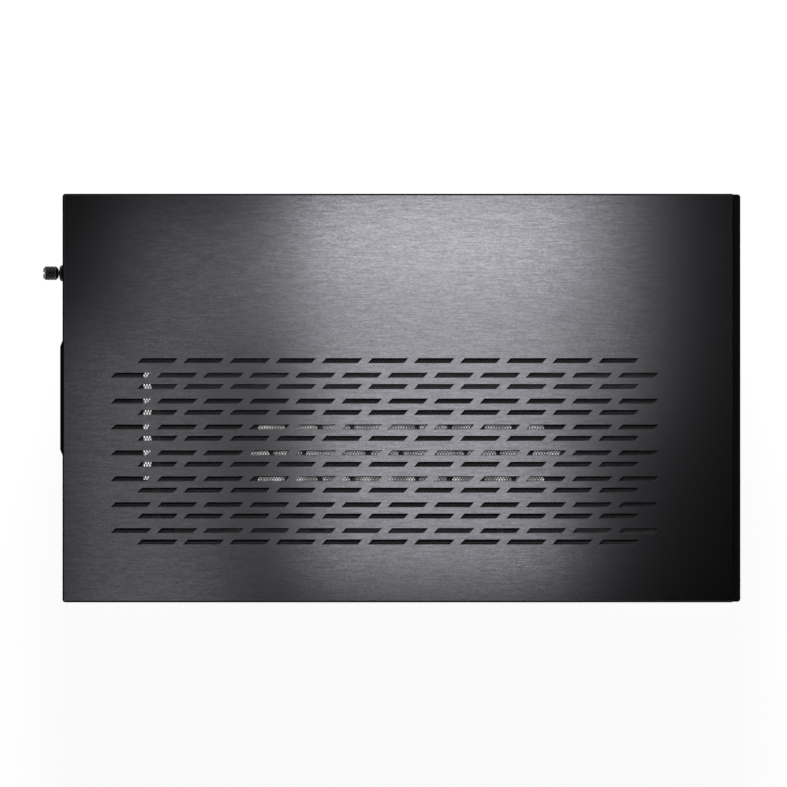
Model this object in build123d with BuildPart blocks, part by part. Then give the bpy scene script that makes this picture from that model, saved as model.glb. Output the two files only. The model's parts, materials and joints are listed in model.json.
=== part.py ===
from build123d import *
import os

# A dual-chamber computer tower case. +X is the front, -Y the glass side, +Z up.
# The origin is the centre of the whole object's footprint, on the floor.

# Overall sizes, in millimetres
case_depth = 471.0  # rear sheet to front face
case_width = 284.0
case_height = 513.0  # floor to top plate
foot_height = 24.0
cap_height = 16.0  # depth of the lift-off top
skirt_height = 16.0  # height of the bands along the bottom edges

# Sheets, glass and clearances
steel = 1.0
glass = 4.0
skin = 1.5  # aluminium top plate
band = 1.2  # aluminium bands along the bottom, and the feet of the front trims
fascia = 5.0  # front trims and strip, front to back
fascia_inset = 0.5  # ends of the front trims inside the case's width
corner_radius = 2.0
panel_gap = 0.3  # round every removable piece
plate_inset = 1.2  # top plate inside the edge of the steel that carries it
frame_inset = 6.0  # outside of a side panel to the frame behind it
mesh = 0.6

# Frame sections
sill_height = 39.0
header_height = 24.0
channel_lip = 12.0  # flange on the floor pan or under the top frame
trim_foot = 10.0  # feet of the front trims, front to back
inner_lip = 5.0  # flange on the open side of a channel
corner_flange = 14.0  # folded edges of the upright sheets
cable_chamber = 102.0  # outside of the right panel to the left face of the tray
cross_height = 30.0  # front cross members

# Vent slots
slot_length = 24.7
slot_height = 3.3
slot_slant = 3.0
slot_pitch = 32.04
row_pair = 18.0  # from one long row to the next
short_row_drop = 7.9  # long row to the short row over it
short_row_shift = 18.4
vent_shift = (-11.55, 14.0)  # middle of the board chamber to the middle of the long rows
vent_end_margin = 34.0  # least distance from the slots to the ends of the case
vent_side_margin = 25.0
floor_slot = (21.8, 3.0)  # through the floor pan, length and width
floor_slot_pitch = 25.2
floor_row_spacing = 20.2
floor_vent_shift = (0.4, 7.5)
floor_vent_end_margin = 105.0
floor_vent_side_margin = 55.0
side_vent_rows_left = 3  # pairs of rows that the side fans leave uncovered
cable_window = (300.0, 46.0)  # through the top frame, over the cable chamber
cable_slit = (6.0, 86.0)  # through the top frame and the floor pan
top_slit_inset = 58.5  # rear sheet to slit
floor_slit_inset = 38.2
cable_slit_shift = 61.0  # tray to the middle of the slit

# Top assembly
mesh_margin = 6.0  # mesh past the window that it covers
window_margin = 6.0  # window past the slots
lip_root = 84.0
lip_tip = 72.0
lip_reach = 2.4
screw_y = 86.9
screw_drop = 8.4  # top plate to the screw's axis
screw_shank_r = 2.0
screw_head_r = 4.8
screw_head_length = 10.5
screw_neck = 0.8  # shank that shows between head and ferrule
screw_chamfer = 1.6
screw_flutes = 16
flute_r = 0.6
driver_slot_width = 1.4
driver_slot_depth = 1.3
collar_r = 3.1
collar_thickness = 0.7
shank_inside = 5.0  # shank past the rear flange
ferrule_r = 5.65
ferrule_length = 2.4
ferrule_dome = 1.2
sleeve_r = 3.4
running = 0.08  # radial clearance of a shank that turns
tab_gap = 0.9  # shank end to the tab that it screws into
tab_width = 20.0

# Panel catches: ball studs in plastic sockets
stud_shaft_r = 2.0
ball_r = 2.6
catch_gap = 0.3
catch_depth = 2.8  # face of the frame to the ball's centre
socket_wall = 1.1
socket_flange_r = 6.0
socket_flange = 0.5
catch_inset = 44.0  # from the ends of a panel
low_catch_rise = 14.0
high_catch_drop = 13.0
top_catch_inset = 28.0
bonded_rail = 1.2  # steel rails behind the glass
bonded_rail_height = 16.0
bonded_rail_inset = 8.0

# Fans
fan_kinds = (  # side and hole spacing
    (120.0, 105.0),
    (92.0, 82.5),
    (80.0, 71.5),
    (60.0, 50.0),
    (50.0, 40.0),
    (40.0, 32.0),
)
fan_screw_r = 2.2
fan_bore_wall = 2.0  # edge of the fan to its bore
fan_rail = 11.0  # width of a rail
fan_rail_slot = 11.0
bracket_lap = 3.0  # bracket past the window that it spans
top_fan_shift = (9.0, 11.1)  # middle of the board chamber to the middle of the fans
top_fan_margin = 50.0  # least distance from the fans to the ends of the case
side_fan_front_gap = 16.5  # front sheet to the fans
side_fan_rise = 16.0  # sill to the lowest fan
rear_fan_gap = 2.55  # grille plate to the port aperture
rear_fan_drop = 110.7  # top frame to the middle of the fan
grille_margin = 1.5
grille_pitch = 12.6
grille_web = 2.2

# Motherboard and rear openings
board_inset = 20.0  # rear sheet to the first column of standoffs
board_columns = (0.0, 124.46, 227.33)
board_rows = (0.0, 154.94, 281.94)
board_drop = 40.7  # top frame to the first row of standoffs
standoff_r = 2.9
standoff_length = 6.5
standoff_bore_r = 1.5
standoff_bore = 5.0
io_width = 44.45
io_height = 158.75
io_drop = 167.0  # first row of standoffs to the foot of the aperture
io_gap = 1.5  # tray to the edge of the aperture
cpu_window = (160.0, 112.0)
cpu_shift = (108.65, -79.0)  # first standoff to the middle of the cutout
card_pitch = 20.32
card_drop = 193.0  # first row of standoffs to the first card
card_floor_gap = 75.0  # least distance from the floor pan to the last card
card_opening = (92.0, 13.0)
card_cover = (108.0, 18.4)
cover_thickness = 0.9
cover_offset = 8.0  # tray to the end of a cover
cover_tab = 11.0
rail_foot = 9.0
card_screw_r = 1.5
card_screw_head_r = 3.0
card_screw_head = 2.2
card_screw_length = 6.0
screw_clearance = 0.2
rear_vent_rows = 9
rear_vent_pitch = 12.0
rear_vent_slot = (60.0, 4.0)
rear_vent_drop = 105.7  # top frame to the middle row

# Cable chamber
psu_width = 86.0
psu_height = 150.0
psu_depth = 160.0
psu_lift = 2.0  # rubber pads under the supply
psu_side_gap = 4.0  # tray to supply
psu_rim = 8.0
psu_lap = 4.0  # panel that the screw frame lies on
psu_pad_inset = 30.0
psu_hole_r = 2.2
psu_hole_inset = 6.0
psu_hole_drop = 16.0
psu_short_row = 114.0
psu_screw_rows = 64.0
cage_gap_rear = 6.0
cage_supply_gap = 19.0  # supply to the cage over it
drive_length = 147.0
drive_height = 101.6
drive_width = 26.1
drive_slack = 0.8
caddy_wall = 2.4
caddy_face = 3.0
caddy_side = 2.0
caddy_handle = (12.0, 40.0)
slide_gap = 0.3
drive_count = 2
cage_window_margin = 16.0
ssd_plate = (70.0, 100.0)
ssd_boss_r = 3.0
ssd_boss = 4.0
ssd_hole_r = 1.6
ssd_holes = (61.7, 76.6)
ssd_rise = 101.0  # floor pan to the middle of the low plate
ssd_drop = 89.0  # first row of standoffs to the middle of the high plate
grommet_slot = (16.0, 62.0)
grommet_lip = 3.0
grommet_face = 1.0
grommet_slit = 1.6
upright_grommet_gap = 49.32  # last column of standoffs to the upright grommets
upright_grommet_drops = (243.0, 153.0, 63.0)
high_grommet_insets = (84.65, 194.65)  # from the rear sheet
high_grommet_drop = 17.7  # from the top frame
low_grommet_insets = (168.65, 258.65)
low_grommet_rise = 33.0  # from the floor pan

# Feet and bottom filter
foot_r = 20.0
foot_taper = 3.0
foot_pad = 4.0
foot_pad_r = 15.0
foot_pad_chamfer = 1.0
foot_inset_x = 36.0
foot_inset_y = 34.0
foot_screw_r = 2.5
filter_end_margin = 16.0  # vent slots to the ends of the filter
filter_side_gap = 8.0  # glass side to the filter
filter_tray_lap = 2.0  # filter past the tray
filter_thickness = 3.2
filter_rim = 9.0
filter_handle = (60.0, 7.0)
guide_lip = 6.0
guide_wall = 1.2
side_filter_rim = 6.0
side_filter_thickness = 1.4

# Front strip: buttons, light and ports, down from the top one
strip_face = 2.0
strip_wall = 1.5
glass_gap = 0.5  # front glass to strip
io_top_drop = 44.7  # end of the strip to the light
power_drop = 15.0
reset_drop = 34.0
jack_drops = (52.0, 66.0)
usb_a_drops = (90.0, 114.0)
usb_c_drop = 136.0
board_margin = 12.0
board_thickness = 1.6
board_width = 26.0
board_gap = 9.0
board_post_r = 2.2
power_r = 7.0
reset_r = 2.4
button_flange = 1.2
button_flange_thickness = 0.8
button_recess = 0.2
button_stem_share = 0.42
button_gap = 0.3
power_travel = 1.2
reset_travel = 0.8
led_r = 1.5
jack_r = 3.0
jack_bore_r = 1.75
port_wall = 0.5
port_depth = 9.0
usb_a = (5.7, 13.1)
usb_a_tongue = (1.9, 10.6)
usb_c = (3.3, 9.2)
usb_c_tongue = (0.7, 6.0)

# Derived places
rear_reach = ferrule_length + screw_neck + screw_head_length
rear_x = (rear_reach - case_depth) / 2
front_x = rear_x + case_depth
half_width = case_width / 2
base_z = foot_height
pan_top = base_z + steel
skirt_z = base_z + skirt_height
cap_z = case_height - cap_height
frame_top = cap_z - panel_gap
frame_under = frame_top - steel
frame_y = half_width - frame_inset
tray_y = half_width - cable_chamber
tray_back = tray_y + steel
chamber_middle = ((rear_x + front_x) / 2, (tray_y - half_width) / 2)
panel_low = skirt_z + panel_gap
panel_high = cap_z - panel_gap
fascia_back = front_x - fascia
sheet_front = fascia_back - steel
panel_front = fascia_back - panel_gap
trim_y = half_width - fascia_inset
inner_rear = rear_x + steel
plate_under = case_height - skin
web_under = plate_under - steel
sill_top = pan_top + sill_height
header_low = frame_under - header_height
board_x = rear_x + board_inset
board_top_z = frame_under - board_drop
upright_grommet_x = board_x + board_columns[-1] + upright_grommet_gap
io_right = tray_y - io_gap
glass_back = half_width - glass
rail_back = glass_back - bonded_rail
skin_back = half_width - steel
screw_z = case_height - screw_drop

# Catch places, shared by every removable panel and its sockets
catch_x = (rear_x + catch_inset, panel_front - catch_inset)
catch_z = (skirt_z + low_catch_rise, cap_z - high_catch_drop)
top_catch_y = half_width - top_catch_inset
socket_bore_r = ball_r + catch_gap
socket_bore = catch_depth + ball_r + catch_gap
socket_r = socket_bore_r + socket_wall
rising = (Align.CENTER, Align.CENTER, Align.MIN)

os.makedirs("parts", exist_ok=True)


def save(piece, name):
    """Labels a finished piece and writes it to its own file."""
    piece.part.label = name
    export_step(piece.part, f"parts/{name}.step")


def level(z):
    """A plane that faces +Z: the sketch's axes are X and Y."""
    return Plane.XY.offset(z)


def side(y):
    """A plane that faces -Y: the sketch's axes are X and Z."""
    return Plane(origin=(0, y, 0), x_dir=(1, 0, 0), z_dir=(0, -1, 0))


def across(x):
    """A plane that faces +X: the sketch's axes are Y and Z."""
    return Plane(origin=(x, 0, 0), x_dir=(0, 1, 0), z_dir=(1, 0, 0))


def forward(x, y, z):
    """A place whose own Z points to the front."""
    return Plane(origin=(x, y, z), x_dir=(0, 1, 0), z_dir=(1, 0, 0))


def area(low_x, high_x, low_y, high_y, mode=Mode.ADD):
    """A rectangle between two corners, in the sketch that is being drawn."""
    with Locations(((low_x + high_x) / 2, (low_y + high_y) / 2)):
        Rectangle(high_x - low_x, high_y - low_y, mode=mode)


def fitting_fan(space):
    """Side and hole spacing of the largest fan that fits in a space."""
    return next(kind for kind in fan_kinds if kind[0] <= space)


def shifted(point, shift):
    """A point moved by a shift."""
    return tuple(at + by for at, by in zip(point, shift))


def slot_columns(length, margin):
    """How many slots a long row holds."""
    return 1 + int((length - 2 * margin - slot_length - slot_slant) / slot_pitch)


def slot_corners(columns, pairs, height):
    """Lower left corners of the staggered slots, about the middle of the long rows.

    Short rows open and close the pattern, and each long row lies close under one.
    """
    first_x = -((columns - 1) * slot_pitch + slot_length + slot_slant) / 2
    top_y = (pairs * row_pair - height) / 2
    short_rows = [
        (first_x + short_row_shift + column * slot_pitch, top_y - row * row_pair)
        for row in range(pairs + 1)
        for column in range(columns - 1)
    ]
    long_rows = [
        (first_x + column * slot_pitch, top_y - (row + 1) * row_pair + short_row_drop)
        for row in range(pairs)
        for column in range(columns)
    ]
    return short_rows + long_rows


def cut_slots(centre_x, centre_y, columns, pairs, height):
    """Cuts the staggered slots out of the sketch that is being drawn."""
    corners = slot_corners(columns, pairs, height)
    with Locations(*[(centre_x + x, centre_y + y) for x, y in corners]):
        Polygon(
            (0, 0),
            (slot_length, 0),
            (slot_length + slot_slant, height),
            (slot_slant, height),
            align=None,
            mode=Mode.SUBTRACT,
        )


def slot_field(columns, pairs, height):
    """Length and width of the field that the staggered slots take up."""
    return (columns - 1) * slot_pitch + slot_length + slot_slant, pairs * row_pair + height


def side_catches(hand, y):
    """Catch places on one side of the case, whose own Z points into it."""
    return [
        Plane(origin=(x, hand * y, z), x_dir=(1, 0, 0), z_dir=(0, -hand, 0))
        for x in catch_x
        for z in catch_z
    ]


def top_catches(z):
    """Catch places of the top, whose own Z points down."""
    return [
        Plane(origin=(x, y, z), x_dir=(1, 0, 0), z_dir=(0, 0, -1))
        for x in catch_x
        for y in (-top_catch_y, top_catch_y)
    ]


def ball_stud(length):
    """A stud with a ball at its end, at each of the current places."""
    Cylinder(stud_shaft_r, length, align=rising)
    with Locations((0, 0, length)):
        Sphere(ball_r)


# Floor pan: a flat sheet with slots under the board and a slit behind them
chamber_width = tray_y + half_width
floor_vent = shifted(chamber_middle, floor_vent_shift)
floor_columns = int((case_depth - 2 * floor_vent_end_margin) / floor_slot_pitch)
floor_rows = int((chamber_width - 2 * floor_vent_side_margin) / floor_row_spacing)
floor_row_counts = [floor_columns - (row + 1) % 2 for row in range(floor_rows)]
floor_slots = [
    (
        floor_vent[0] + (column - (count - 1) / 2) * floor_slot_pitch,
        floor_vent[1] + (row - (floor_rows - 1) / 2) * floor_row_spacing,
    )
    for row, count in enumerate(floor_row_counts)
    for column in range(count)
]
cable_slit_y = tray_y - cable_slit_shift
foot_places = [
    (x, y)
    for x in (rear_x + foot_inset_x, front_x - foot_inset_x)
    for y in (foot_inset_y - half_width, half_width - foot_inset_y)
]
with BuildPart() as floor_pan:
    with BuildSketch(level(base_z)):
        area(rear_x, fascia_back, band - half_width, half_width - band)
        with Locations(*floor_slots):
            SlotOverall(*floor_slot, mode=Mode.SUBTRACT)
        with Locations((rear_x + floor_slit_inset, cable_slit_y)):
            Rectangle(*cable_slit, mode=Mode.SUBTRACT)
        with Locations(*foot_places):
            Circle(foot_screw_r, mode=Mode.SUBTRACT)
    extrude(amount=steel)
save(floor_pan, "floor_pan")

# Skirts: aluminium bands along the bottom edges, with a foot on the pan
for hand, name in ((-1, "left_skirt"), (1, "right_skirt")):
    with BuildPart() as skirt:
        with BuildSketch(across(rear_x)):
            with BuildLine():
                Polyline(
                    (hand * half_width, base_z),
                    (hand * half_width, skirt_z),
                    (hand * (half_width - band), skirt_z),
                    (hand * (half_width - band), pan_top + band),
                    (hand * frame_y, pan_top + band),
                    (hand * frame_y, pan_top),
                    (hand * (half_width - band), pan_top),
                    (hand * (half_width - band), base_z),
                    close=True,
                )
            make_face()
        extrude(amount=fascia_back - rear_x)
    save(skirt, name)

# Feet: turned cones with a screw well, and a rubber pad under each
with BuildPart() as feet:
    with Locations(*[(x, y, foot_pad) for x, y in foot_places]):
        Cone(foot_r - foot_taper, foot_r, base_z - foot_pad, align=rising)
        Cylinder(foot_screw_r, base_z, align=rising, mode=Mode.SUBTRACT)
save(feet, "feet")
with BuildPart() as foot_pads:
    with Locations(*[(x, y, 0) for x, y in foot_places]):
        Cylinder(foot_pad_r, foot_pad, align=rising)
    chamfer(foot_pads.edges().group_by(Axis.Z)[0], foot_pad_chamfer)
save(foot_pads, "foot_pads")

# Sills and headers: folded channels along the edges, with holes for the sockets
channels = (
    ("left_sill", -1, pan_top, sill_top, channel_lip, inner_lip, fascia_back),
    ("right_sill", 1, pan_top, sill_top, channel_lip, inner_lip, sheet_front),
    ("left_header", -1, header_low, frame_under, inner_lip, channel_lip, fascia_back),
    ("right_header", 1, header_low, frame_under, inner_lip, channel_lip, sheet_front),
)
for name, hand, low, high, low_lip, high_lip, end in channels:
    with BuildPart() as channel:
        with BuildSketch(across(inner_rear)):
            with BuildLine():
                Polyline(
                    (hand * frame_y, low),
                    (hand * frame_y, high),
                    (hand * (frame_y - high_lip), high),
                    (hand * (frame_y - high_lip), high - steel),
                    (hand * (frame_y - steel), high - steel),
                    (hand * (frame_y - steel), low + steel),
                    (hand * (frame_y - low_lip), low + steel),
                    (hand * (frame_y - low_lip), low),
                    close=True,
                )
            make_face()
        extrude(amount=end - inner_rear)
        places = [p for p in side_catches(hand, frame_y) if low < p.origin.Z < high]
        with Locations(*places):
            Cylinder(socket_r, 2 * steel, mode=Mode.SUBTRACT)
    save(channel, name)

# Front cross members of the board chamber: angles on the pan and under the top frame
cross_low_y = channel_lip - frame_y
cross_high_y = tray_y - corner_flange
for name, outer_z, up in (("front_sill", pan_top, 1), ("front_header", frame_under, -1)):
    with BuildPart() as angle:
        with BuildSketch(side(cross_high_y)):
            with BuildLine():
                Polyline(
                    (fascia_back, outer_z),
                    (fascia_back, outer_z + up * cross_height),
                    (sheet_front, outer_z + up * cross_height),
                    (sheet_front, outer_z + up * steel),
                    (fascia_back - channel_lip, outer_z + up * steel),
                    (fascia_back - channel_lip, outer_z),
                    close=True,
                )
            make_face()
        extrude(amount=cross_high_y - cross_low_y)
    save(angle, name)

# Top frame: the sheet that the fans hang on, with the tab of the thumbscrew
top_centre = shifted(chamber_middle, top_fan_shift)
top_fan = fitting_fan(tray_y + frame_y - channel_lip - window_margin)
top_fan_count = int((case_depth - 2 * top_fan_margin) / top_fan[0])
top_window = (top_fan_count * top_fan[0], top_fan[0] + window_margin)
tab_x = inner_rear + shank_inside + tab_gap
cable_window_centre = (chamber_middle[0], (tray_back + frame_y - channel_lip) / 2)
with BuildPart() as top_frame:
    with BuildSketch(level(frame_under)):
        area(rear_x, fascia_back, -frame_y, frame_y)
        with Locations(top_centre):
            RectangleRounded(*top_window, corner_radius * 2, mode=Mode.SUBTRACT)
        with Locations(cable_window_centre):
            RectangleRounded(*cable_window, corner_radius * 2, mode=Mode.SUBTRACT)
        with Locations((rear_x + top_slit_inset, cable_slit_y)):
            Rectangle(*cable_slit, mode=Mode.SUBTRACT)
        with Locations(*[(x, y) for x in catch_x for y in (-top_catch_y, top_catch_y)]):
            Circle(socket_r, mode=Mode.SUBTRACT)
    extrude(amount=steel)
    with BuildSketch(across(tab_x)):
        area(screw_y - tab_width / 2, screw_y + tab_width / 2, frame_top, web_under - steel)
        with Locations((screw_y, screw_z)):
            Circle(screw_shank_r, mode=Mode.SUBTRACT)
    extrude(amount=steel)
save(top_frame, "top_frame")

# Motherboard tray: upright sheet between the chambers, folded at its front edge
grommet_edge = grommet_slot[0] / 2 + grommet_lip
side_space = sheet_front - side_fan_front_gap - upright_grommet_x - grommet_edge - bracket_lap
side_fan = fitting_fan(side_space)
side_fan_count = int((header_low - sill_top - 2 * side_fan_rise) / side_fan[0])
side_window = (side_fan[0], side_fan_count * side_fan[0])
side_centre = (
    sheet_front - side_fan_front_gap - side_window[0] / 2,
    sill_top + side_fan_rise + side_window[1] / 2,
)
cpu_centre = shifted((board_x, board_top_z), cpu_shift)
board_places = [(board_x + x, board_top_z - z) for x in board_columns for z in board_rows]
grommet_places = [(upright_grommet_x, board_top_z - drop, 0) for drop in upright_grommet_drops]
grommet_rows = (
    (high_grommet_insets, frame_under - high_grommet_drop),
    (low_grommet_insets, pan_top + low_grommet_rise),
)
for insets, z in grommet_rows:
    grommet_places += [(rear_x + inset, z, 90) for inset in insets]
with BuildPart() as motherboard_tray:
    with BuildSketch(level(pan_top)):
        area(inner_rear, fascia_back, tray_y, tray_back)
        area(sheet_front, fascia_back, tray_y - corner_flange, tray_back)
    extrude(amount=frame_under - pan_top)
    with BuildSketch(side(tray_back)):
        with Locations(side_centre):
            RectangleRounded(*side_window, corner_radius * 2)
        with Locations(cpu_centre):
            RectangleRounded(*cpu_window, corner_radius * 4)
        for x, z, turn in grommet_places:
            with Locations(Location((x, z), turn)):
                RectangleRounded(*grommet_slot, corner_radius * 2)
        with Locations(*board_places):
            Circle(standoff_bore_r)
    extrude(amount=steel, mode=Mode.SUBTRACT)
save(motherboard_tray, "motherboard_tray")

# Rubber grommets: a face on each side of the tray, and a slit membrane
with BuildPart() as cable_grommets:
    for x, z, turn in grommet_places:
        width, length = grommet_slot
        for y, grow in ((tray_back + grommet_face, grommet_lip), (tray_back, 0), (tray_y, grommet_lip)):
            with BuildSketch(side(y)):
                with Locations(Location((x, z), turn)):
                    outline = (width + 2 * grow, length + 2 * grow)
                    RectangleRounded(*outline, corner_radius * 2)
                    Rectangle(grommet_slit, length - 2 * grommet_lip, mode=Mode.SUBTRACT)
            extrude(amount=grommet_face if grow else steel)
save(cable_grommets, "cable_grommets")

# Brass standoffs for the board
with BuildPart() as standoffs:
    with BuildSketch(side(tray_y)):
        with Locations(*board_places):
            RegularPolygon(standoff_r, 6)
    extrude(amount=standoff_length)
    with BuildSketch(side(tray_y - standoff_length + standoff_bore)):
        with Locations(*board_places):
            Circle(standoff_bore_r)
    extrude(amount=standoff_bore, mode=Mode.SUBTRACT)
save(standoffs, "standoffs")

# Rear panel: board ports, cards, a fan, the supply and a field of slots
card_top_z = board_top_z - card_drop
card_count = 1 + int((card_top_z - pan_top - card_floor_gap) / card_pitch)
card_z = [card_top_z - card * card_pitch for card in range(card_count)]
cover_y = tray_y - cover_offset - card_cover[0] / 2
psu_y = tray_back + psu_side_gap + psu_width / 2
psu_z = pan_top + psu_lift + psu_height / 2
chamber_y = (tray_back + frame_y) / 2
io_left = io_right - io_width
io_low_z = board_top_z - io_drop
rear_fan = fitting_fan(io_left + frame_y - steel - rear_fan_gap - 2 * grille_margin)
plate_side = rear_fan[0] + 2 * grille_margin
rear_fan_y = io_left - rear_fan_gap - plate_side / 2
rear_fan_z = frame_under - rear_fan_drop
rear_bore_r = rear_fan[0] / 2 - fan_bore_wall
half_spacing = rear_fan[1] / 2
rear_fan_holes = [
    (rear_fan_y + y, rear_fan_z + z)
    for y in (-half_spacing, half_spacing)
    for z in (-half_spacing, half_spacing)
]
with BuildPart() as rear_panel:
    with BuildSketch(across(rear_x)):
        area(-frame_y, frame_y, pan_top, frame_under)
        area(io_left, io_right, io_low_z, io_low_z + io_height, Mode.SUBTRACT)
        with Locations((rear_fan_y, rear_fan_z)):
            Circle(rear_bore_r, mode=Mode.SUBTRACT)
        with Locations(*rear_fan_holes):
            Circle(fan_screw_r, mode=Mode.SUBTRACT)
        with Locations(*[(cover_y, z) for z in card_z]):
            Rectangle(*card_opening, mode=Mode.SUBTRACT)
        with Locations((psu_y, psu_z)):
            Rectangle(psu_width - 2 * psu_lap, psu_height - 2 * psu_lap, mode=Mode.SUBTRACT)
        with Locations((chamber_y, frame_under - rear_vent_drop)):
            with GridLocations(0, rear_vent_pitch, 1, rear_vent_rows):
                SlotOverall(*rear_vent_slot, mode=Mode.SUBTRACT)
    extrude(amount=steel)
    with BuildSketch(level(sill_top)):
        for hand in (-1, 1):
            edges = sorted((hand * frame_y, hand * (frame_y - steel)))
            area(inner_rear, inner_rear + corner_flange, *edges)
    extrude(amount=header_low - sill_top)
save(rear_panel, "rear_panel")

# Rear fan grille: a plate behind the panel, punched with hexagons
grille_rings = int(rear_bore_r / grille_pitch)
hexagons = [
    (grille_pitch * (column + row / 2), grille_pitch * row * 3**0.5 / 2)
    for row in range(-grille_rings, grille_rings + 1)
    for column in range(-grille_rings, grille_rings + 1)
    if abs(column + row) <= grille_rings
]
with BuildPart() as rear_fan_grille:
    with BuildSketch(across(inner_rear)):
        with Locations((rear_fan_y, rear_fan_z)):
            RectangleRounded(plate_side, plate_side, corner_radius * 2)
        with Locations(*rear_fan_holes):
            Circle(fan_screw_r, mode=Mode.SUBTRACT)
        with Locations(*[(rear_fan_y + y, rear_fan_z + z) for y, z in hexagons]):
            RegularPolygon(
                (grille_pitch - grille_web) / 2, 6, major_radius=False, rotation=30, mode=Mode.SUBTRACT
            )
    extrude(amount=steel)
save(rear_fan_grille, "rear_fan_grille")

# Card covers, the rail that holds their tabs, and the screws
cover_end_y = cover_y - card_cover[0] / 2
tab_centre_x = inner_rear + cover_tab / 2
with BuildPart() as slot_covers:
    with BuildSketch(across(inner_rear)):
        with Locations(*[(cover_y, z) for z in card_z]):
            Rectangle(*card_cover)
    extrude(amount=cover_thickness)
    with BuildSketch(side(cover_end_y)):
        for z in card_z:
            area(inner_rear, inner_rear + cover_tab, z - card_cover[1] / 2, z + card_cover[1] / 2)
        with Locations(*[(tab_centre_x, z) for z in card_z]):
            Circle(card_screw_r + screw_clearance, mode=Mode.SUBTRACT)
    extrude(amount=steel)
save(slot_covers, "slot_covers")
rail_y = cover_end_y - steel
with BuildPart() as slot_rail:
    with BuildSketch(level(card_z[-1] - card_pitch / 2)):
        area(inner_rear, inner_rear + cover_tab, rail_y - steel, rail_y)
        area(inner_rear, inner_rear + steel, rail_y - rail_foot, rail_y)
    extrude(amount=card_count * card_pitch)
    with BuildSketch(side(rail_y)):
        with Locations(*[(tab_centre_x, z) for z in card_z]):
            Circle(card_screw_r + screw_clearance)
    extrude(amount=steel, mode=Mode.SUBTRACT)
save(slot_rail, "slot_rail")
with BuildPart() as slot_screws:
    with BuildSketch(side(cover_end_y + card_screw_head)):
        with Locations(*[(tab_centre_x, z) for z in card_z]):
            Circle(card_screw_head_r)
    extrude(amount=card_screw_head)
    with BuildSketch(side(cover_end_y)):
        with Locations(*[(tab_centre_x, z) for z in card_z]):
            Circle(card_screw_r)
    extrude(amount=card_screw_length)
save(slot_screws, "slot_screws")


def fan_bracket(plane, centre, window, fan, count, upright):
    """A frame of two slotted rails and two ends, over a row of fans."""
    fan_size, fan_holes = fan
    along, wide = (1, 0) if upright else (0, 1)
    outer = [side_length + 2 * bracket_lap for side_length in window]
    outer[wide] = fan_holes + fan_rail
    inner = list(window)
    inner[along] -= 2 * bracket_lap
    inner[wide] = fan_holes - fan_rail
    with BuildPart() as bracket:
        with BuildSketch(plane):
            with Locations(centre):
                Rectangle(*outer)
                Rectangle(*inner, mode=Mode.SUBTRACT)
                pitches = [0.0, 0.0]
                counts = [1, 1]
                pitches[wide], counts[wide] = fan_holes, 2
                pitches[along], counts[along] = fan_size, count
                with GridLocations(*pitches, *counts):
                    for step in (-fan_holes / 2, fan_holes / 2):
                        shift = (0, step) if upright else (step, 0)
                        with Locations(Location(shift, 90 if upright else 0)):
                            SlotOverall(fan_rail_slot, 2 * fan_screw_r, mode=Mode.SUBTRACT)
        extrude(amount=steel)
    return bracket


top_row = (top_centre, top_window, top_fan, top_fan_count)
side_row = (side_centre, side_window, side_fan, side_fan_count)
save(fan_bracket(level(frame_top), *top_row, False), "top_fan_bracket")
save(fan_bracket(side(tray_back + steel), *side_row, True), "side_fan_bracket")

# Supply: a screw frame behind the rear panel and rubber pads on the pan
with BuildPart() as psu_bracket:
    with BuildSketch(across(inner_rear)):
        with Locations((psu_y, psu_z)):
            Rectangle(psu_width, psu_height)
            Rectangle(psu_width - 2 * psu_rim, psu_height - 2 * psu_rim, mode=Mode.SUBTRACT)
        far_y = psu_y - psu_width / 2 + psu_hole_drop
        near_y = far_y + psu_screw_rows
        low_z = psu_z - psu_height / 2 + psu_hole_inset
        high_z = psu_z + psu_height / 2 - psu_hole_inset
        corners = ((far_y, low_z), (far_y, high_z), (near_y, low_z), (near_y, low_z + psu_short_row))
        with Locations(*corners):
            Circle(2 * psu_hole_r)
            Circle(psu_hole_r, mode=Mode.SUBTRACT)
    extrude(amount=steel)
save(psu_bracket, "psu_bracket")
pad_size = (psu_rim, psu_width - 2 * psu_rim)
with BuildPart() as psu_pads:
    with BuildSketch(level(pan_top)):
        for step in (psu_pad_inset, psu_depth - psu_pad_inset):
            with Locations((inner_rear + step, psu_y)):
                RectangleRounded(*pad_size, corner_radius)
    extrude(amount=psu_lift)
save(psu_pads, "psu_pads")

# Drive cage: sheet box on the tray, open to the front, with one bay for each caddy
bay_width = drive_width + drive_slack + caddy_side + 2 * slide_gap
bay_height = drive_height + drive_slack + 2 * caddy_wall + 2 * slide_gap
cage_low_z = pan_top + psu_lift + psu_height + cage_supply_gap
cage_rear = inner_rear + cage_gap_rear
cage_inner_rear = cage_rear + steel
cage_front = cage_inner_rear + slide_gap + drive_length + drive_slack + caddy_face
bay_low = [tray_back + steel + bay * (bay_width + steel) for bay in range(drive_count)]
cage_right = bay_low[-1] + bay_width + steel
cage_high_z = cage_low_z + bay_height + 2 * steel
bay_z = cage_low_z + steel
with BuildPart() as drive_cage:
    with BuildSketch(level(cage_low_z)):
        area(cage_rear, cage_front, tray_back, cage_right)
    extrude(amount=cage_high_z - cage_low_z)
    with BuildSketch(level(bay_z)):
        for low_y in bay_low:
            area(cage_inner_rear, cage_front, low_y, low_y + bay_width)
    extrude(amount=bay_height, mode=Mode.SUBTRACT)
    with BuildSketch(side(cage_right)):
        window_x = (cage_rear + cage_window_margin, cage_front - cage_window_margin)
        window_z = (cage_low_z + cage_window_margin, cage_high_z - cage_window_margin)
        area(*window_x, *window_z)
    extrude(amount=steel, mode=Mode.SUBTRACT)
save(drive_cage, "drive_cage")

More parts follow.
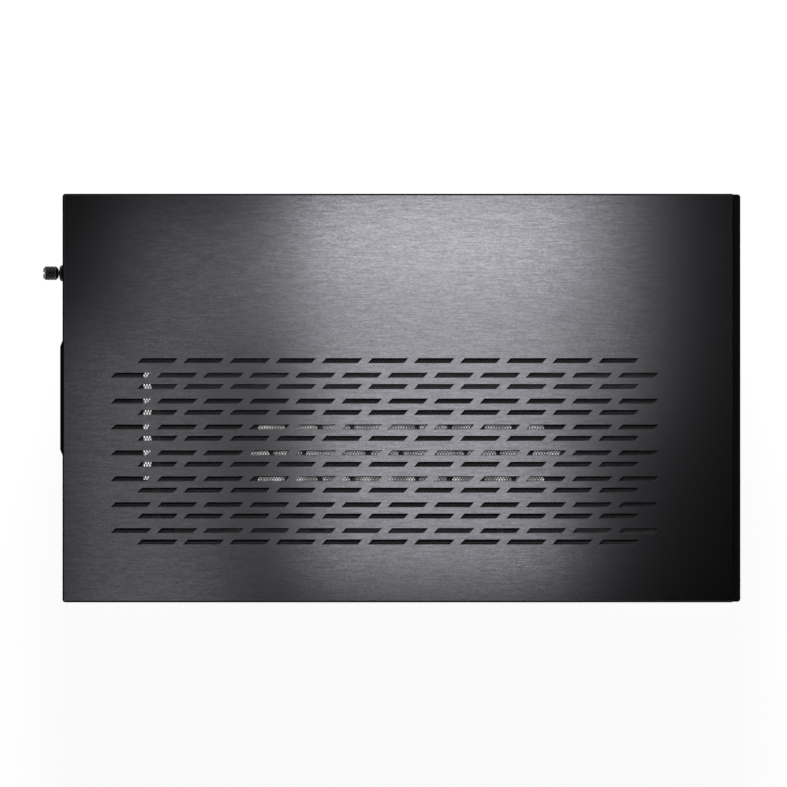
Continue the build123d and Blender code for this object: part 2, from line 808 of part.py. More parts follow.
# Caddies: a side, a floor, a roof and a face with a finger hole each
for low_y, name in zip(bay_low, ("inner_caddy", "outer_caddy")):
    left = low_y + slide_gap
    right = low_y + bay_width - slide_gap
    low = bay_z + slide_gap
    high = bay_z + bay_height - slide_gap
    with BuildPart() as caddy:
        with BuildSketch(side(right)):
            area(cage_inner_rear + slide_gap, cage_front, low, high)
            inner_front = cage_front - caddy_face
            area(cage_inner_rear, inner_front, low + caddy_wall, high - caddy_wall, Mode.SUBTRACT)
        extrude(amount=right - left)
        with BuildSketch(side(left + caddy_side)):
            area(cage_inner_rear + slide_gap, cage_front, low, high)
        extrude(amount=caddy_side)
        with BuildSketch(across(cage_front - caddy_face)):
            with Locations(((left + right) / 2, (low + high) / 2)):
                SlotOverall(caddy_handle[1], caddy_handle[0], rotation=90)
        extrude(amount=caddy_face, mode=Mode.SUBTRACT)
    save(caddy, name)

# Plates for small drives, on bosses off the tray, between the cutout and the grommets
cutout_edge = cpu_centre[0] + cpu_window[0] / 2
ssd_x = (cutout_edge + upright_grommet_x - grommet_edge) / 2
ssd_places = [(ssd_x, pan_top + ssd_rise), (ssd_x, board_top_z - ssd_drop)]
with BuildPart() as ssd_plates:
    with BuildSketch(side(tray_back + ssd_boss + steel)):
        with Locations(*ssd_places):
            RectangleRounded(*ssd_plate, corner_radius * 2)
            with GridLocations(*ssd_holes, 2, 2):
                Circle(ssd_hole_r, mode=Mode.SUBTRACT)
    extrude(amount=steel)
    with BuildSketch(side(tray_back + ssd_boss)):
        with Locations(*ssd_places):
            corner_x = ssd_plate[0] - 2 * ssd_boss_r
            corner_z = ssd_plate[1] - 2 * ssd_boss_r
            with GridLocations(corner_x, corner_z, 2, 2):
                Circle(ssd_boss_r)
    extrude(amount=ssd_boss)
save(ssd_plates, "ssd_plates")

# Front bulkhead: closes the cable chamber behind the strip
io_y = (tray_back + trim_y) / 2
io_top = panel_high - io_top_drop
led_z = io_top
power_z = io_top - power_drop
reset_z = io_top - reset_drop
jack_z = [io_top - drop for drop in jack_drops]
usb_a_z = [io_top - drop for drop in usb_a_drops]
usb_c_z = io_top - usb_c_drop
power_stem_r = power_r * button_stem_share
reset_stem_r = reset_r * button_stem_share
port_window_low = usb_c_z - board_margin
port_window_high = jack_z[0] + jack_r + button_gap
with BuildPart() as front_bulkhead:
    with BuildSketch(across(sheet_front)):
        area(tray_back, frame_y, pan_top, frame_under)
        area(io_y - usb_c[1], io_y + usb_c[1], port_window_low, port_window_high, Mode.SUBTRACT)
        with Locations((io_y, power_z)):
            Circle(power_stem_r + button_gap, mode=Mode.SUBTRACT)
        with Locations((io_y, reset_z)):
            Circle(reset_stem_r + button_gap, mode=Mode.SUBTRACT)
        with Locations((io_y, led_z)):
            Circle(led_r + button_gap, mode=Mode.SUBTRACT)
    extrude(amount=steel)
    with BuildSketch(level(sill_top)):
        area(sheet_front - corner_flange, sheet_front, frame_y - steel, frame_y)
    extrude(amount=header_low - sill_top)
save(front_bulkhead, "front_bulkhead")

# Front strip: aluminium section with the holes of the buttons and ports
strip_back = front_x - strip_face
with BuildPart() as front_strip:
    with BuildSketch(level(panel_low)):
        area(strip_back, front_x, tray_back, trim_y)
        area(fascia_back, front_x, tray_back, tray_back + strip_wall)
        area(fascia_back, front_x, trim_y - strip_wall, trim_y)
        area(fascia_back, front_x, frame_y - 2 * strip_wall, frame_y - strip_wall)
    extrude(amount=panel_high - panel_low)
    outer_corner = front_strip.edges().filter_by(Axis.Z).sort_by(Axis.X)[-2:].sort_by(Axis.Y)[-1]
    fillet(outer_corner, corner_radius)
    with BuildSketch(across(strip_back)):
        with Locations((io_y, led_z)):
            Circle(led_r + button_gap)
        with Locations((io_y, power_z)):
            Circle(power_r + button_gap)
        with Locations((io_y, reset_z)):
            Circle(reset_r + button_gap)
        with Locations(*[(io_y, z) for z in jack_z]):
            Circle(jack_r + button_gap)
        with Locations(*[(io_y, z) for z in usb_a_z]):
            Rectangle(usb_a[0] + 2 * button_gap, usb_a[1] + 2 * button_gap)
        with Locations((io_y, usb_c_z)):
            SlotOverall(usb_c[1] + 2 * button_gap, usb_c[0] + 2 * button_gap, rotation=90)
    extrude(amount=strip_face, mode=Mode.SUBTRACT)
save(front_strip, "front_strip")

# Port board, on posts behind the bulkhead
board_front = sheet_front - board_gap
board_back = board_front - board_thickness
board_low = usb_c_z - board_margin
board_high = led_z + board_margin
with BuildPart() as io_board:
    with BuildSketch(across(board_back)):
        area(io_y - board_width / 2, io_y + board_width / 2, board_low, board_high)
    extrude(amount=board_thickness)
    with BuildSketch(across(board_front)):
        post_y = board_width / 2 - board_post_r
        post_z = (board_low + board_post_r, board_high - board_post_r)
        with Locations(*[(io_y + s * post_y, z) for s in (-1, 1) for z in post_z]):
            Circle(board_post_r)
    extrude(amount=board_gap)
save(io_board, "io_board")

# Ports, all from the board to the face of the strip
port_front = front_x - button_recess
with BuildPart() as usb_a_ports:
    with BuildSketch(across(board_front)):
        with Locations(*[(io_y, z) for z in usb_a_z]):
            Rectangle(*usb_a)
    extrude(amount=port_front - board_front)
    with BuildSketch(across(port_front - port_depth)):
        with Locations(*[(io_y, z) for z in usb_a_z]):
            Rectangle(usb_a[0] - 2 * port_wall, usb_a[1] - 2 * port_wall)
            with Locations((-usb_a_tongue[0] / 2, 0)):
                Rectangle(*usb_a_tongue, mode=Mode.SUBTRACT)
    extrude(amount=port_depth, mode=Mode.SUBTRACT)
save(usb_a_ports, "usb_a_ports")
with BuildPart() as usb_c_port:
    with BuildSketch(across(board_front)):
        with Locations((io_y, usb_c_z)):
            SlotOverall(usb_c[1], usb_c[0], rotation=90)
    extrude(amount=port_front - board_front)
    with BuildSketch(across(port_front - port_depth)):
        with Locations((io_y, usb_c_z)):
            SlotOverall(usb_c[1] - 2 * port_wall, usb_c[0] - 2 * port_wall, rotation=90)
            Rectangle(*usb_c_tongue, mode=Mode.SUBTRACT)
    extrude(amount=port_depth, mode=Mode.SUBTRACT)
save(usb_c_port, "usb_c_port")
with BuildPart() as audio_jacks:
    with BuildSketch(across(board_front)):
        with Locations(*[(io_y, z) for z in jack_z]):
            Circle(jack_r)
    extrude(amount=port_front - board_front)
    with BuildSketch(across(port_front - port_depth)):
        with Locations(*[(io_y, z) for z in jack_z]):
            Circle(jack_bore_r)
    extrude(amount=port_depth, mode=Mode.SUBTRACT)
save(audio_jacks, "audio_jacks")
with BuildPart() as power_led:
    with Locations(forward(board_front, io_y, led_z)):
        Cylinder(led_r, port_front - board_front, align=rising)
save(power_led, "power_led")

# Buttons: a cap in the strip, a flange behind it and a stem towards the board
buttons = (
    ("power_button", power_z, power_r, power_stem_r, power_travel),
    ("reset_button", reset_z, reset_r, reset_stem_r, reset_travel),
)
flange_front = strip_back - button_gap / 2
for name, z, cap_r, stem_r, travel in buttons:
    stem_end = board_front + travel + button_gap
    with BuildPart() as button:
        with Locations(forward(flange_front, io_y, z)):
            Cylinder(cap_r, port_front - flange_front, align=rising)
        with Locations(forward(flange_front - button_flange_thickness, io_y, z)):
            Cylinder(cap_r + button_flange, button_flange_thickness, align=rising)
        with Locations(forward(stem_end, io_y, z)):
            Cylinder(stem_r, flange_front - stem_end, align=rising)
    save(button, name)

# Front trims: aluminium bars over and under the front glass, each with a foot
foot_y = half_width - channel_lip
for name, low, high, foot_z in (
    ("front_top_trim", cap_z, case_height, frame_top),
    ("front_sill_trim", base_z, skirt_z, base_z - band),
):
    with BuildPart() as trim:
        with BuildSketch(level(low)):
            area(fascia_back, front_x, -trim_y, trim_y)
        extrude(amount=high - low)
        fillet(trim.edges().filter_by(Axis.Z).group_by(Axis.X)[-1], corner_radius)
        with BuildSketch(level(foot_z)):
            area(fascia_back - trim_foot, fascia_back + strip_wall, -foot_y, foot_y)
        extrude(amount=band)
    save(trim, name)

# Front glass, with the steel rails bonded behind it
front_glass_back = front_x - glass
with BuildPart() as front_glass:
    with BuildSketch(across(front_glass_back)):
        area(-trim_y, tray_back - glass_gap, panel_low, panel_high)
    extrude(amount=glass)
    chamfer(front_glass.edges().filter_by(Axis.Z).group_by(Axis.X)[-1], glass_gap)
save(front_glass, "front_glass")
with BuildPart() as front_glass_rails:
    with BuildSketch(across(fascia_back)):
        rail_high_y = tray_back - glass_gap
        low_rail = panel_low + bonded_rail_height
        high_rail = panel_high - bonded_rail_height
        area(-frame_y, rail_high_y, panel_low + panel_gap, panel_high - panel_gap)
        area(-frame_y, tray_y - corner_flange, low_rail, high_rail, Mode.SUBTRACT)
    extrude(amount=front_glass_back - fascia_back)
save(front_glass_rails, "front_glass_rails")

# Side glass: the pane, two bonded rails and four ball studs
with BuildPart() as side_glass:
    with BuildSketch(side(-glass_back)):
        area(rear_x, panel_front, panel_low, panel_high)
    extrude(amount=glass)
    chamfer(side_glass.faces().sort_by(Axis.Y)[0].edges(), glass_gap)
save(side_glass, "side_glass")
with BuildPart() as side_glass_rails:
    with BuildSketch(side(-rail_back)):
        for z in catch_z:
            area(
                rear_x + bonded_rail_inset,
                panel_front - bonded_rail_inset,
                z - bonded_rail_height / 2,
                z + bonded_rail_height / 2,
            )
    extrude(amount=bonded_rail)
save(side_glass_rails, "side_glass_rails")
with BuildPart() as side_glass_studs:
    with Locations(*side_catches(-1, rail_back)):
        ball_stud(rail_back - frame_y + catch_depth)
save(side_glass_studs, "side_glass_studs")

# Right panel: folded steel, slotted over the side fans, with a magnetic filter inside
side_vent_columns = int(side_window[0] / slot_pitch)
side_vent_pairs = int(side_window[1] / row_pair - side_vent_rows_left)
side_field = slot_field(side_vent_columns, side_vent_pairs, slot_height)
fold_depth = frame_inset - steel - panel_gap
with BuildPart() as right_panel:
    with BuildSketch(side(half_width)):
        area(rear_x, panel_front, panel_low, panel_high)
        cut_slots(*side_centre, side_vent_columns, side_vent_pairs, slot_height)
    extrude(amount=steel)
    with BuildSketch(side(skin_back)):
        area(rear_x, panel_front, panel_low, panel_high)
        area(inner_rear, panel_front - steel, panel_low + steel, panel_high - steel, Mode.SUBTRACT)
    extrude(amount=fold_depth - steel)
save(right_panel, "right_panel")
with BuildPart() as right_panel_studs:
    with Locations(*side_catches(1, skin_back)):
        ball_stud(skin_back - frame_y + catch_depth)
save(right_panel_studs, "right_panel_studs")
filter_inner = [length + side_filter_rim for length in side_field]
filter_outer = [length + 2 * side_filter_rim for length in filter_inner]
with BuildPart() as side_filter_frame:
    with BuildSketch(side(skin_back)):
        with Locations(side_centre):
            RectangleRounded(*filter_outer, corner_radius * 2)
            Rectangle(*filter_inner, mode=Mode.SUBTRACT)
    extrude(amount=side_filter_thickness)
save(side_filter_frame, "side_filter_frame")
with BuildPart() as side_filter_mesh:
    with BuildSketch(side(skin_back)):
        with Locations(side_centre):
            Rectangle(*filter_inner)
    extrude(amount=mesh)
save(side_filter_mesh, "side_filter_mesh")

# Bottom filter: a framed mesh that slides out between the feet on two guides
filter_x = floor_vent[0]
filter_low_y = filter_side_gap - half_width
filter_high_y = tray_y + filter_tray_lap
filter_y = (filter_low_y + filter_high_y) / 2
floor_field = floor_columns * floor_slot_pitch
filter_frame = (floor_field + 2 * filter_end_margin, filter_high_y - filter_low_y)
filter_top = base_z - slide_gap
filter_low = filter_top - filter_thickness
with BuildPart() as bottom_filter_frame:
    with BuildSketch(level(filter_low)):
        with Locations((filter_x, filter_y)):
            RectangleRounded(*filter_frame, corner_radius)
            opening = [length - 2 * filter_rim for length in filter_frame]
            Rectangle(*opening, mode=Mode.SUBTRACT)
        with Locations((filter_x, filter_low_y - filter_handle[1] / 2)):
            Rectangle(filter_handle[0], filter_handle[1] + band)
    extrude(amount=filter_thickness)
save(bottom_filter_frame, "bottom_filter_frame")
with BuildPart() as bottom_filter_mesh:
    with BuildSketch(level(filter_low + filter_thickness / 2)):
        with Locations((filter_x, filter_y)):
            Rectangle(*opening)
    extrude(amount=mesh)
save(bottom_filter_mesh, "bottom_filter_mesh")
guide_low = filter_low - slide_gap - guide_wall
with BuildPart() as filter_guides:
    for hand in (-1, 1):
        inside = filter_x + hand * (filter_frame[0] / 2 + slide_gap)
        outside = inside + hand * guide_wall
        lip_end = inside - hand * guide_lip
        with BuildSketch(side(filter_high_y)):
            area(*sorted((inside, outside)), guide_low, base_z)
            area(*sorted((lip_end, outside)), guide_low, guide_low + guide_wall)
        extrude(amount=filter_frame[1])
save(filter_guides, "filter_guides")

# Top plate, and the mesh and folded steel that carry it
vent = shifted(chamber_middle, vent_shift)
vent_columns = slot_columns(case_depth, vent_end_margin)
vent_pairs = int((chamber_width - 2 * vent_side_margin) / row_pair)
field = slot_field(vent_columns, vent_pairs, slot_height)
window = [length + window_margin for length in field]
with BuildPart() as top_plate:
    with BuildSketch(level(plate_under)):
        area(rear_x + plate_inset, panel_front, plate_inset - half_width, half_width - plate_inset)
        cut_slots(*vent, vent_columns, vent_pairs, slot_height)
    extrude(amount=skin)
save(top_plate, "top_plate")
front_relief = band + 2 * panel_gap
with BuildPart() as top_carrier:
    with BuildSketch(level(cap_z)):
        area(rear_x, panel_front, -half_width, half_width)
    extrude(amount=plate_under - cap_z)
    fillet(top_carrier.edges().filter_by(Axis.Z).group_by(Axis.X)[0], corner_radius)
    with BuildSketch(level(cap_z)):
        area(inner_rear, panel_front - steel, steel - half_width, half_width - steel)
    extrude(amount=web_under - cap_z, mode=Mode.SUBTRACT)
    with BuildSketch(level(cap_z)):
        area(panel_front - steel, panel_front, steel - half_width, half_width - steel)
    extrude(amount=front_relief, mode=Mode.SUBTRACT)
    with BuildSketch(level(web_under)):
        with Locations(vent):
            Rectangle(*window)
    extrude(amount=steel, mode=Mode.SUBTRACT)
    with BuildSketch(level(cap_z)):
        with BuildLine():
            Polyline(
                (inner_rear, -lip_root / 2),
                (rear_x, -lip_root / 2),
                (rear_x - lip_reach, -lip_tip / 2),
                (rear_x - lip_reach, lip_tip / 2),
                (rear_x, lip_root / 2),
                (inner_rear, lip_root / 2),
                close=True,
            )
        make_face()
    extrude(amount=steel)
    with Locations(forward(rear_x, screw_y, screw_z)):
        Cylinder(sleeve_r, 2 * steel, mode=Mode.SUBTRACT)
save(top_carrier, "top_carrier")
with BuildPart() as top_mesh:
    with BuildSketch(level(web_under - mesh)):
        with Locations(vent):
            Rectangle(*[length + 2 * mesh_margin for length in window])
    extrude(amount=mesh)
save(top_mesh, "top_mesh")
with BuildPart() as top_studs:
    with Locations(*top_catches(web_under)):
        ball_stud(web_under - frame_top + catch_depth)
save(top_studs, "top_studs")

# Captive thumbscrew, shown backed out, and the ferrule pressed into the rear flange
screw_axis = Axis((0, screw_y, screw_z), (1, 0, 0))
screw_plane = Plane(origin=(0, screw_y, screw_z), x_dir=(1, 0, 0), z_dir=(0, -1, 0))
with BuildPart() as screw_ferrule:
    with BuildSketch(screw_plane):
        bore = screw_shank_r + running
        with BuildLine():
            Line((rear_x, ferrule_r), (rear_x - ferrule_length + ferrule_dome, ferrule_r))
            Line((rear_x - ferrule_length, ferrule_r - ferrule_dome), (rear_x - ferrule_length, bore))
            RadiusArc(
                (rear_x - ferrule_length + ferrule_dome, ferrule_r),
                (rear_x - ferrule_length, ferrule_r - ferrule_dome),
                ferrule_dome,
            )
            Polyline(
                (rear_x - ferrule_length, bore),
                (inner_rear, bore),
                (inner_rear, sleeve_r),
                (rear_x, sleeve_r),
                (rear_x, ferrule_r),
            )
        make_face()
    revolve(axis=screw_axis)
save(screw_ferrule, "screw_ferrule")
head_end = rear_x - rear_reach
head_start = head_end + screw_head_length
shank_end = inner_rear + shank_inside
collar_start = inner_rear + panel_gap
with BuildPart() as thumbscrew:
    with BuildSketch(screw_plane):
        with BuildLine():
            Polyline(
                (head_end, 0),
                (head_end, screw_head_r - screw_chamfer),
                (head_end + screw_chamfer, screw_head_r),
                (head_start - screw_chamfer / 2, screw_head_r),
                (head_start, screw_head_r - screw_chamfer / 2),
                (head_start, screw_shank_r),
                (collar_start, screw_shank_r),
                (collar_start, collar_r),
                (collar_start + collar_thickness, collar_r),
                (collar_start + collar_thickness, screw_shank_r),
                (shank_end, screw_shank_r),
                (shank_end, 0),
                close=True,
            )
        make_face()
    revolve(axis=screw_axis)
    with BuildSketch(across(head_end)):
        with Locations((screw_y, screw_z)):
            with PolarLocations(screw_head_r + flute_r / 2, screw_flutes):
                Circle(flute_r)
    extrude(amount=screw_head_length, mode=Mode.SUBTRACT)
    with BuildSketch(across(head_end)):
        with Locations((screw_y, screw_z)):
            Rectangle(driver_slot_width, 2 * screw_head_r)
    extrude(amount=driver_slot_depth, mode=Mode.SUBTRACT)
save(thumbscrew, "thumbscrew")

# Sockets of all the catches: four in the top frame and four on each side
with BuildPart() as panel_sockets:
    with Locations(*side_catches(-1, frame_y), *side_catches(1, frame_y), *top_catches(frame_top)):
        Cylinder(socket_r, socket_bore + socket_wall, align=rising)
        with Locations((0, 0, -socket_flange)):
            Cylinder(socket_flange_r, socket_flange, align=rising)
            Cylinder(socket_bore_r, socket_bore + socket_flange, align=rising, mode=Mode.SUBTRACT)
save(panel_sockets, "panel_sockets")
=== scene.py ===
"""Finishes and fine details of a computer tower case, laid out as an add-on and run as a script."""

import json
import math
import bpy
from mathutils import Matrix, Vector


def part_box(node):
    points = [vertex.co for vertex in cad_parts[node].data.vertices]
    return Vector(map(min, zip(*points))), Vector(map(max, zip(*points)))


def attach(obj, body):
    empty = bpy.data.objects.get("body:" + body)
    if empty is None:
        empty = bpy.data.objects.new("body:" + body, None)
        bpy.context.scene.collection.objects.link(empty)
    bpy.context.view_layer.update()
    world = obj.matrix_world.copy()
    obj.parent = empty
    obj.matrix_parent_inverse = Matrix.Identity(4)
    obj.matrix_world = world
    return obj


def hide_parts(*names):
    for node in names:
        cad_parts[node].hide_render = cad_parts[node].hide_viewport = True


bl_info = {
    "name": "Computer tower case",
    "version": (1, 0, 0),
    "blender": (4, 5, 0),
    "location": "3D View > Sidebar > Tower case",
    "description": "Finishes and fine details of a slotted computer tower case",
    "category": "Object",
}

import bmesh
import bpy
from bpy.props import FloatProperty, FloatVectorProperty, IntProperty, PointerProperty
from mathutils import Matrix, Vector

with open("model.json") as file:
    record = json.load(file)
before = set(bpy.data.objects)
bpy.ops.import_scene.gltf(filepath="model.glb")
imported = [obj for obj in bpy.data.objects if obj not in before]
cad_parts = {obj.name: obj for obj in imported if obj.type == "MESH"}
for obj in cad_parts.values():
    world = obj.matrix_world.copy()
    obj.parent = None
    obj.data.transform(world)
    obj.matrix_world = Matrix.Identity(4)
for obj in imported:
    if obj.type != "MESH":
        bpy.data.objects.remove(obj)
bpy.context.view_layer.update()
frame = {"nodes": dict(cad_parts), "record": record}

mm = 0.001
plate_low, plate_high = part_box("top_plate")


# ---------------------------------------------------------------- sizes and colours


def length_field(name, description, size):
    """A length, given in millimetres and kept in metres."""
    return FloatProperty(name=name, description=description, default=size * mm, unit="LENGTH")


def colour_field(name, description, colour):
    """A colour, as red, green and blue."""
    return FloatVectorProperty(name=name, description=description, default=colour, subtype="COLOR")


class TowerSizes(bpy.types.PropertyGroup):
    """Sizes of the details, in metres."""

    slot_length: length_field("Slot length", "Long edge of a vent slot", 24.7)
    slot_height: length_field("Slot height", "Width of a vent slot", 3.3)
    slot_slant: length_field("Slot slant", "Lean of a slot's ends", 3.0)
    slot_pitch: length_field("Slot pitch", "One slot to the next in its row", 32.04)
    row_pair: length_field("Row spacing", "One long row to the next", 18.0)
    row_drop: length_field("Short row drop", "Long row to the short row over it", 7.9)
    row_shift: length_field("Short row shift", "Long row's start to the short row's", 18.4)
    columns: IntProperty(name="Slots in a long row", description="Number of slots", default=12, min=2)
    pairs: IntProperty(name="Long rows", description="Number of long rows", default=7, min=2)
    slot_edge: length_field("Slot edge", "Chamfer round the slots", 0.16)
    wire_pitch: length_field("Mesh pitch", "One hole to the next along the case", 1.9)
    wire_angle: FloatProperty(name="Mesh angle", description="Lean of the wires",
                              default=math.radians(60), subtype="ANGLE")
    wire_width: length_field("Mesh wire", "Width of a wire", 0.75)
    knurl_depth: length_field("Knurl depth", "Depth of the knurl's grooves", 0.8)


class TowerColours(bpy.types.PropertyGroup):
    """Colours of the finishes."""

    brushed_light: colour_field("Brushed, light", "Aluminium between the brush lines", (0.165, 0.162, 0.179))
    brushed_dark: colour_field("Brushed, dark", "Aluminium in the brush lines", (0.113, 0.11, 0.123))
    steel: colour_field("Black steel", "Powder coat", (0.014, 0.014, 0.015))
    grey_steel: colour_field("Grey steel", "Satin steel of the fan rails", (0.42, 0.42, 0.43))
    glass: colour_field("Glass", "Tint of the tempered glass", (0.42, 0.43, 0.45))


# ---------------------------------------------------------------- nodes as expressions


# Places of the mix node's sockets for colours, whose names its sockets for numbers share
MIX_A, MIX_B, MIX_RESULT = 6, 7, 2

# Most values of a noise lie between these
NOISE_RANGE = (0.3, 0.7)


class Value:
    """An output of a node, which Python arithmetic can use."""

    def __init__(self, sheet, socket):
        self.sheet = sheet
        self.socket = socket

    def __add__(self, other):
        return self.sheet.maths("ADD", self, other)

    def __sub__(self, other):
        return self.sheet.maths("SUBTRACT", self, other)

    def __rsub__(self, other):
        return self.sheet.maths("SUBTRACT", other, self)

    def __mul__(self, other):
        return self.sheet.maths("MULTIPLY", self, other)

    def __truediv__(self, other):
        return self.sheet.maths("DIVIDE", self, other)


class Sheet:
    """A tree of nodes that is being drawn, for a finish or for a repeated piece."""

    def __init__(self, tree):
        self.tree = tree

    def node(self, kind, settings=None, values=None, out=0):
        """Adds a node, sets its settings and then its sockets, and gives one of its outputs."""
        node = self.tree.nodes.new(kind)
        for name, setting in (settings or {}).items():
            setattr(node, name, setting)
        for name, value in (values or {}).items():
            for one in value if isinstance(value, list) else [value]:
                if isinstance(one, Value):
                    self.tree.links.new(one.socket, node.inputs[name])
                else:
                    node.inputs[name].default_value = one
        return Value(self, node.outputs[out]) if len(node.outputs) else None

    def maths(self, operation, first, second):
        """One operation on two values or numbers."""
        return self.node("ShaderNodeMath", {"operation": operation}, {0: first, 1: second})

    def rays(self, *kinds):
        """For each kind, one where the ray is of that kind and nought elsewhere."""
        path = self.node("ShaderNodeLightPath").socket.node
        return [Value(self, path.outputs[kind]) for kind in kinds]


class Finish(Sheet):
    """A material whose nodes are being drawn."""

    def __init__(self, name):
        self.material = bpy.data.materials.new(name)
        self.material.use_nodes = True
        super().__init__(self.material.node_tree)
        self.tree.nodes.clear()

    def place(self, scale):
        """Object coordinates, stretched by a number for each axis or by one for all."""
        scale = scale if isinstance(scale, tuple) else (scale,) * 3
        where = self.node("ShaderNodeTexCoord", out="Object")
        return self.node("ShaderNodeMapping", {}, {"Vector": where, "Scale": scale})

    def noise(self, scale, detail=2.0, roughness=0.5):
        """Noise whose features lie that many to the metre along each axis."""
        values = {"Vector": self.place(scale), "Scale": 1.0, "Detail": detail, "Roughness": roughness}
        return self.node("ShaderNodeTexNoise", {}, values)

    def spread(self, value, low, high, to_low=0.0, to_high=1.0):
        """Stretches a range of values over another."""
        values = {"Value": value, "From Min": low, "From Max": high, "To Min": to_low, "To Max": to_high}
        return self.node("ShaderNodeMapRange", {}, values)

    def vary(self, noise, low=0.0, high=1.0):
        """Stretches the usual range of a noise over another."""
        return self.spread(noise, *NOISE_RANGE, low, high)

    def blend(self, factor, first, second):
        """One colour turning into another."""
        ends = [one if isinstance(one, Value) else (*one, 1) for one in (first, second)]
        values = {"Factor": factor, MIX_A: ends[0], MIX_B: ends[1]}
        return self.node("ShaderNodeMix", {"data_type": "RGBA"}, values, out=MIX_RESULT)

    def bump(self, height, distance, strength):
        """Normals that follow a height, at so many metres for its full range."""
        values = {"Height": height, "Distance": distance, "Strength": strength}
        return self.node("ShaderNodeBump", {}, values)

    def surface(self, values):
        """Ends the tree in a shader with these values and gives the material."""
        return self.end(self.node("ShaderNodeBsdfPrincipled", {}, values))

    def end(self, shader):
        """Joins a shader to the output and gives the material."""
        self.node("ShaderNodeOutputMaterial", {}, {"Surface": shader})
        return self.material


# ---------------------------------------------------------------- finishes


def brushed(name, light, dark, along, roughness=0.16, fine=950.0):
    """Anodised aluminium, brushed along one axis."""
    finish = Finish(name)

    def lines(across, detail, share):
        scale = tuple(across * share if axis == along else across for axis in range(3))
        return finish.noise(scale, detail, 0.65)

    streaks = finish.spread(lines(fine, 2.0, 0.09) * 0.5 + lines(fine * 1.3, 1.0, 0.45) * 0.5, 0.36, 0.64)
    hairs = lines(fine * 1.7, 1.0, 0.05)
    clouds = finish.noise(60.0, 3.0)
    tone = finish.blend(clouds, dark, tuple(part * shift for part, shift in zip(dark, (1.0, 1.04, 0.97))))
    return finish.surface({
        "Base Color": finish.blend(streaks, tone, light),
        "Metallic": 1.0,
        "Roughness": finish.spread(streaks, 0.0, 1.0, roughness + 0.012, roughness - 0.012),
        "Normal": finish.bump(hairs, 0.008 * mm, 0.2),
    })


def coated(name, colour, roughness, gloss=0.5, grain=2400.0, depth=0.005 * mm):
    """Steel with a fine textured powder coat."""
    finish = Finish(name)
    pebbles = finish.noise(grain, 2.0, 0.6)
    clouds = finish.noise(9.0, 3.0, 0.6)
    pale = tuple(min(1.0, part * 1.35 + 0.002) for part in colour)
    return finish.surface({
        "Base Color": finish.blend(finish.spread(clouds + pebbles, 0.8, 1.2), colour, pale),
        "Metallic": 0.0,
        "Specular IOR Level": gloss,
        "Roughness": finish.vary(pebbles, roughness - 0.06, roughness + 0.08),
        "Normal": finish.bump(pebbles, depth, 0.7),
    })


def satin(name, colour, roughness, metallic, edge=1.0):
    """Smooth satin metal with faint rolling marks; an edge tint under one paints shade round the outline."""
    finish = Finish(name)
    marks = finish.noise((60.0, 700.0, 60.0), 3.0)
    clouds = finish.noise(18.0)
    pale = tuple(min(1.0, part * 1.2) for part in colour)
    return finish.surface({
        "Base Color": finish.blend(clouds, colour, pale),
        "Metallic": metallic,
        # An edge below one darkens the reflection at grazing angles, which paints shade round the outline of
        # the piece.
        "Specular Tint": (edge, edge, edge, 1),
        "Roughness": finish.vary(marks, roughness - 0.05, roughness + 0.07),
        "Normal": finish.bump(marks, 0.008 * mm, 0.4),
    })


def moulded(name, colour, roughness=0.55, grain=2600.0):
    """Moulded plastic or rubber with an eroded texture."""
    finish = Finish(name)
    values = {"Vector": finish.place(grain), "Scale": 1.0}
    grains = finish.node("ShaderNodeTexVoronoi", {"feature": "F1"}, values)
    sheen = finish.noise(30.0)
    pale = tuple(min(1.0, part * 1.4 + 0.003) for part in colour)
    return finish.surface({
        "Base Color": finish.blend(finish.vary(sheen), colour, pale),
        "Metallic": 0.0,
        "Roughness": finish.vary(sheen, roughness - 0.06, roughness + 0.06),
        "Normal": finish.bump(grains, 0.03 * mm, 0.5),
    })


def woven(name, colour):
    """Plastic thread, dusty and without gloss."""
    finish = Finish(name)
    dust = finish.noise(420.0, 3.0, 0.6)
    worn = finish.noise(35.0)
    dark = tuple(part * 0.7 for part in colour)
    return finish.surface({
        "Base Color": finish.blend(finish.spread(dust * 0.6 + worn * 0.4, 0.35, 0.65), dark, colour),
        "Roughness": finish.vary(dust, 0.7, 0.85),
        "Specular IOR Level": 0.06,
        "Normal": finish.bump(dust, 0.01 * mm, 0.4),
    })


def tinted(name, colour):
    """Tempered glass, tinted grey, with a trace of dust."""
    finish = Finish(name)
    dust = finish.noise(40.0, 4.0, 0.7)
    dark = tuple(part * 0.93 for part in colour)
    return finish.surface({
        "Base Color": finish.blend(dust, dark, colour),
        "Roughness": finish.spread(dust, 0.3, 0.8, 0.0, 0.006),
        "Transmission Weight": 1.0,
        "IOR": 1.28,
    })


def board(name):
    """Solder mask over copper tracks."""
    finish = Finish(name)
    tracks = finish.node("ShaderNodeTexBrick", {"offset": 0.35}, {
        "Vector": finish.place((1.0, 600.0, 240.0)), "Scale": 1.0, "Mortar Size": 0.12,
        "Color1": (1, 1, 1, 1), "Color2": (0.8, 0.8, 0.8, 1), "Mortar": (0, 0, 0, 1)})
    specks = finish.noise(900.0)
    return finish.surface({
        "Base Color": finish.blend(tracks, (0.035, 0.075, 0.05), (0.012, 0.032, 0.02)),
        "Roughness": finish.vary(specks, 0.22, 0.34),
        "Normal": finish.bump(tracks, 0.03 * mm, 0.5),
    })


def lamp_lens(name):
    """Frosted light pipe."""
    finish = Finish(name)
    frost = finish.noise(1500.0)
    return finish.surface({
        "Base Color": finish.blend(frost, (0.72, 0.76, 0.8), (0.86, 0.89, 0.92)),
        "Roughness": finish.vary(frost, 0.25, 0.4),
        "Transmission Weight": 0.4,
        "Normal": finish.bump(frost, 0.01 * mm, 0.4),
    })


finishes = {}


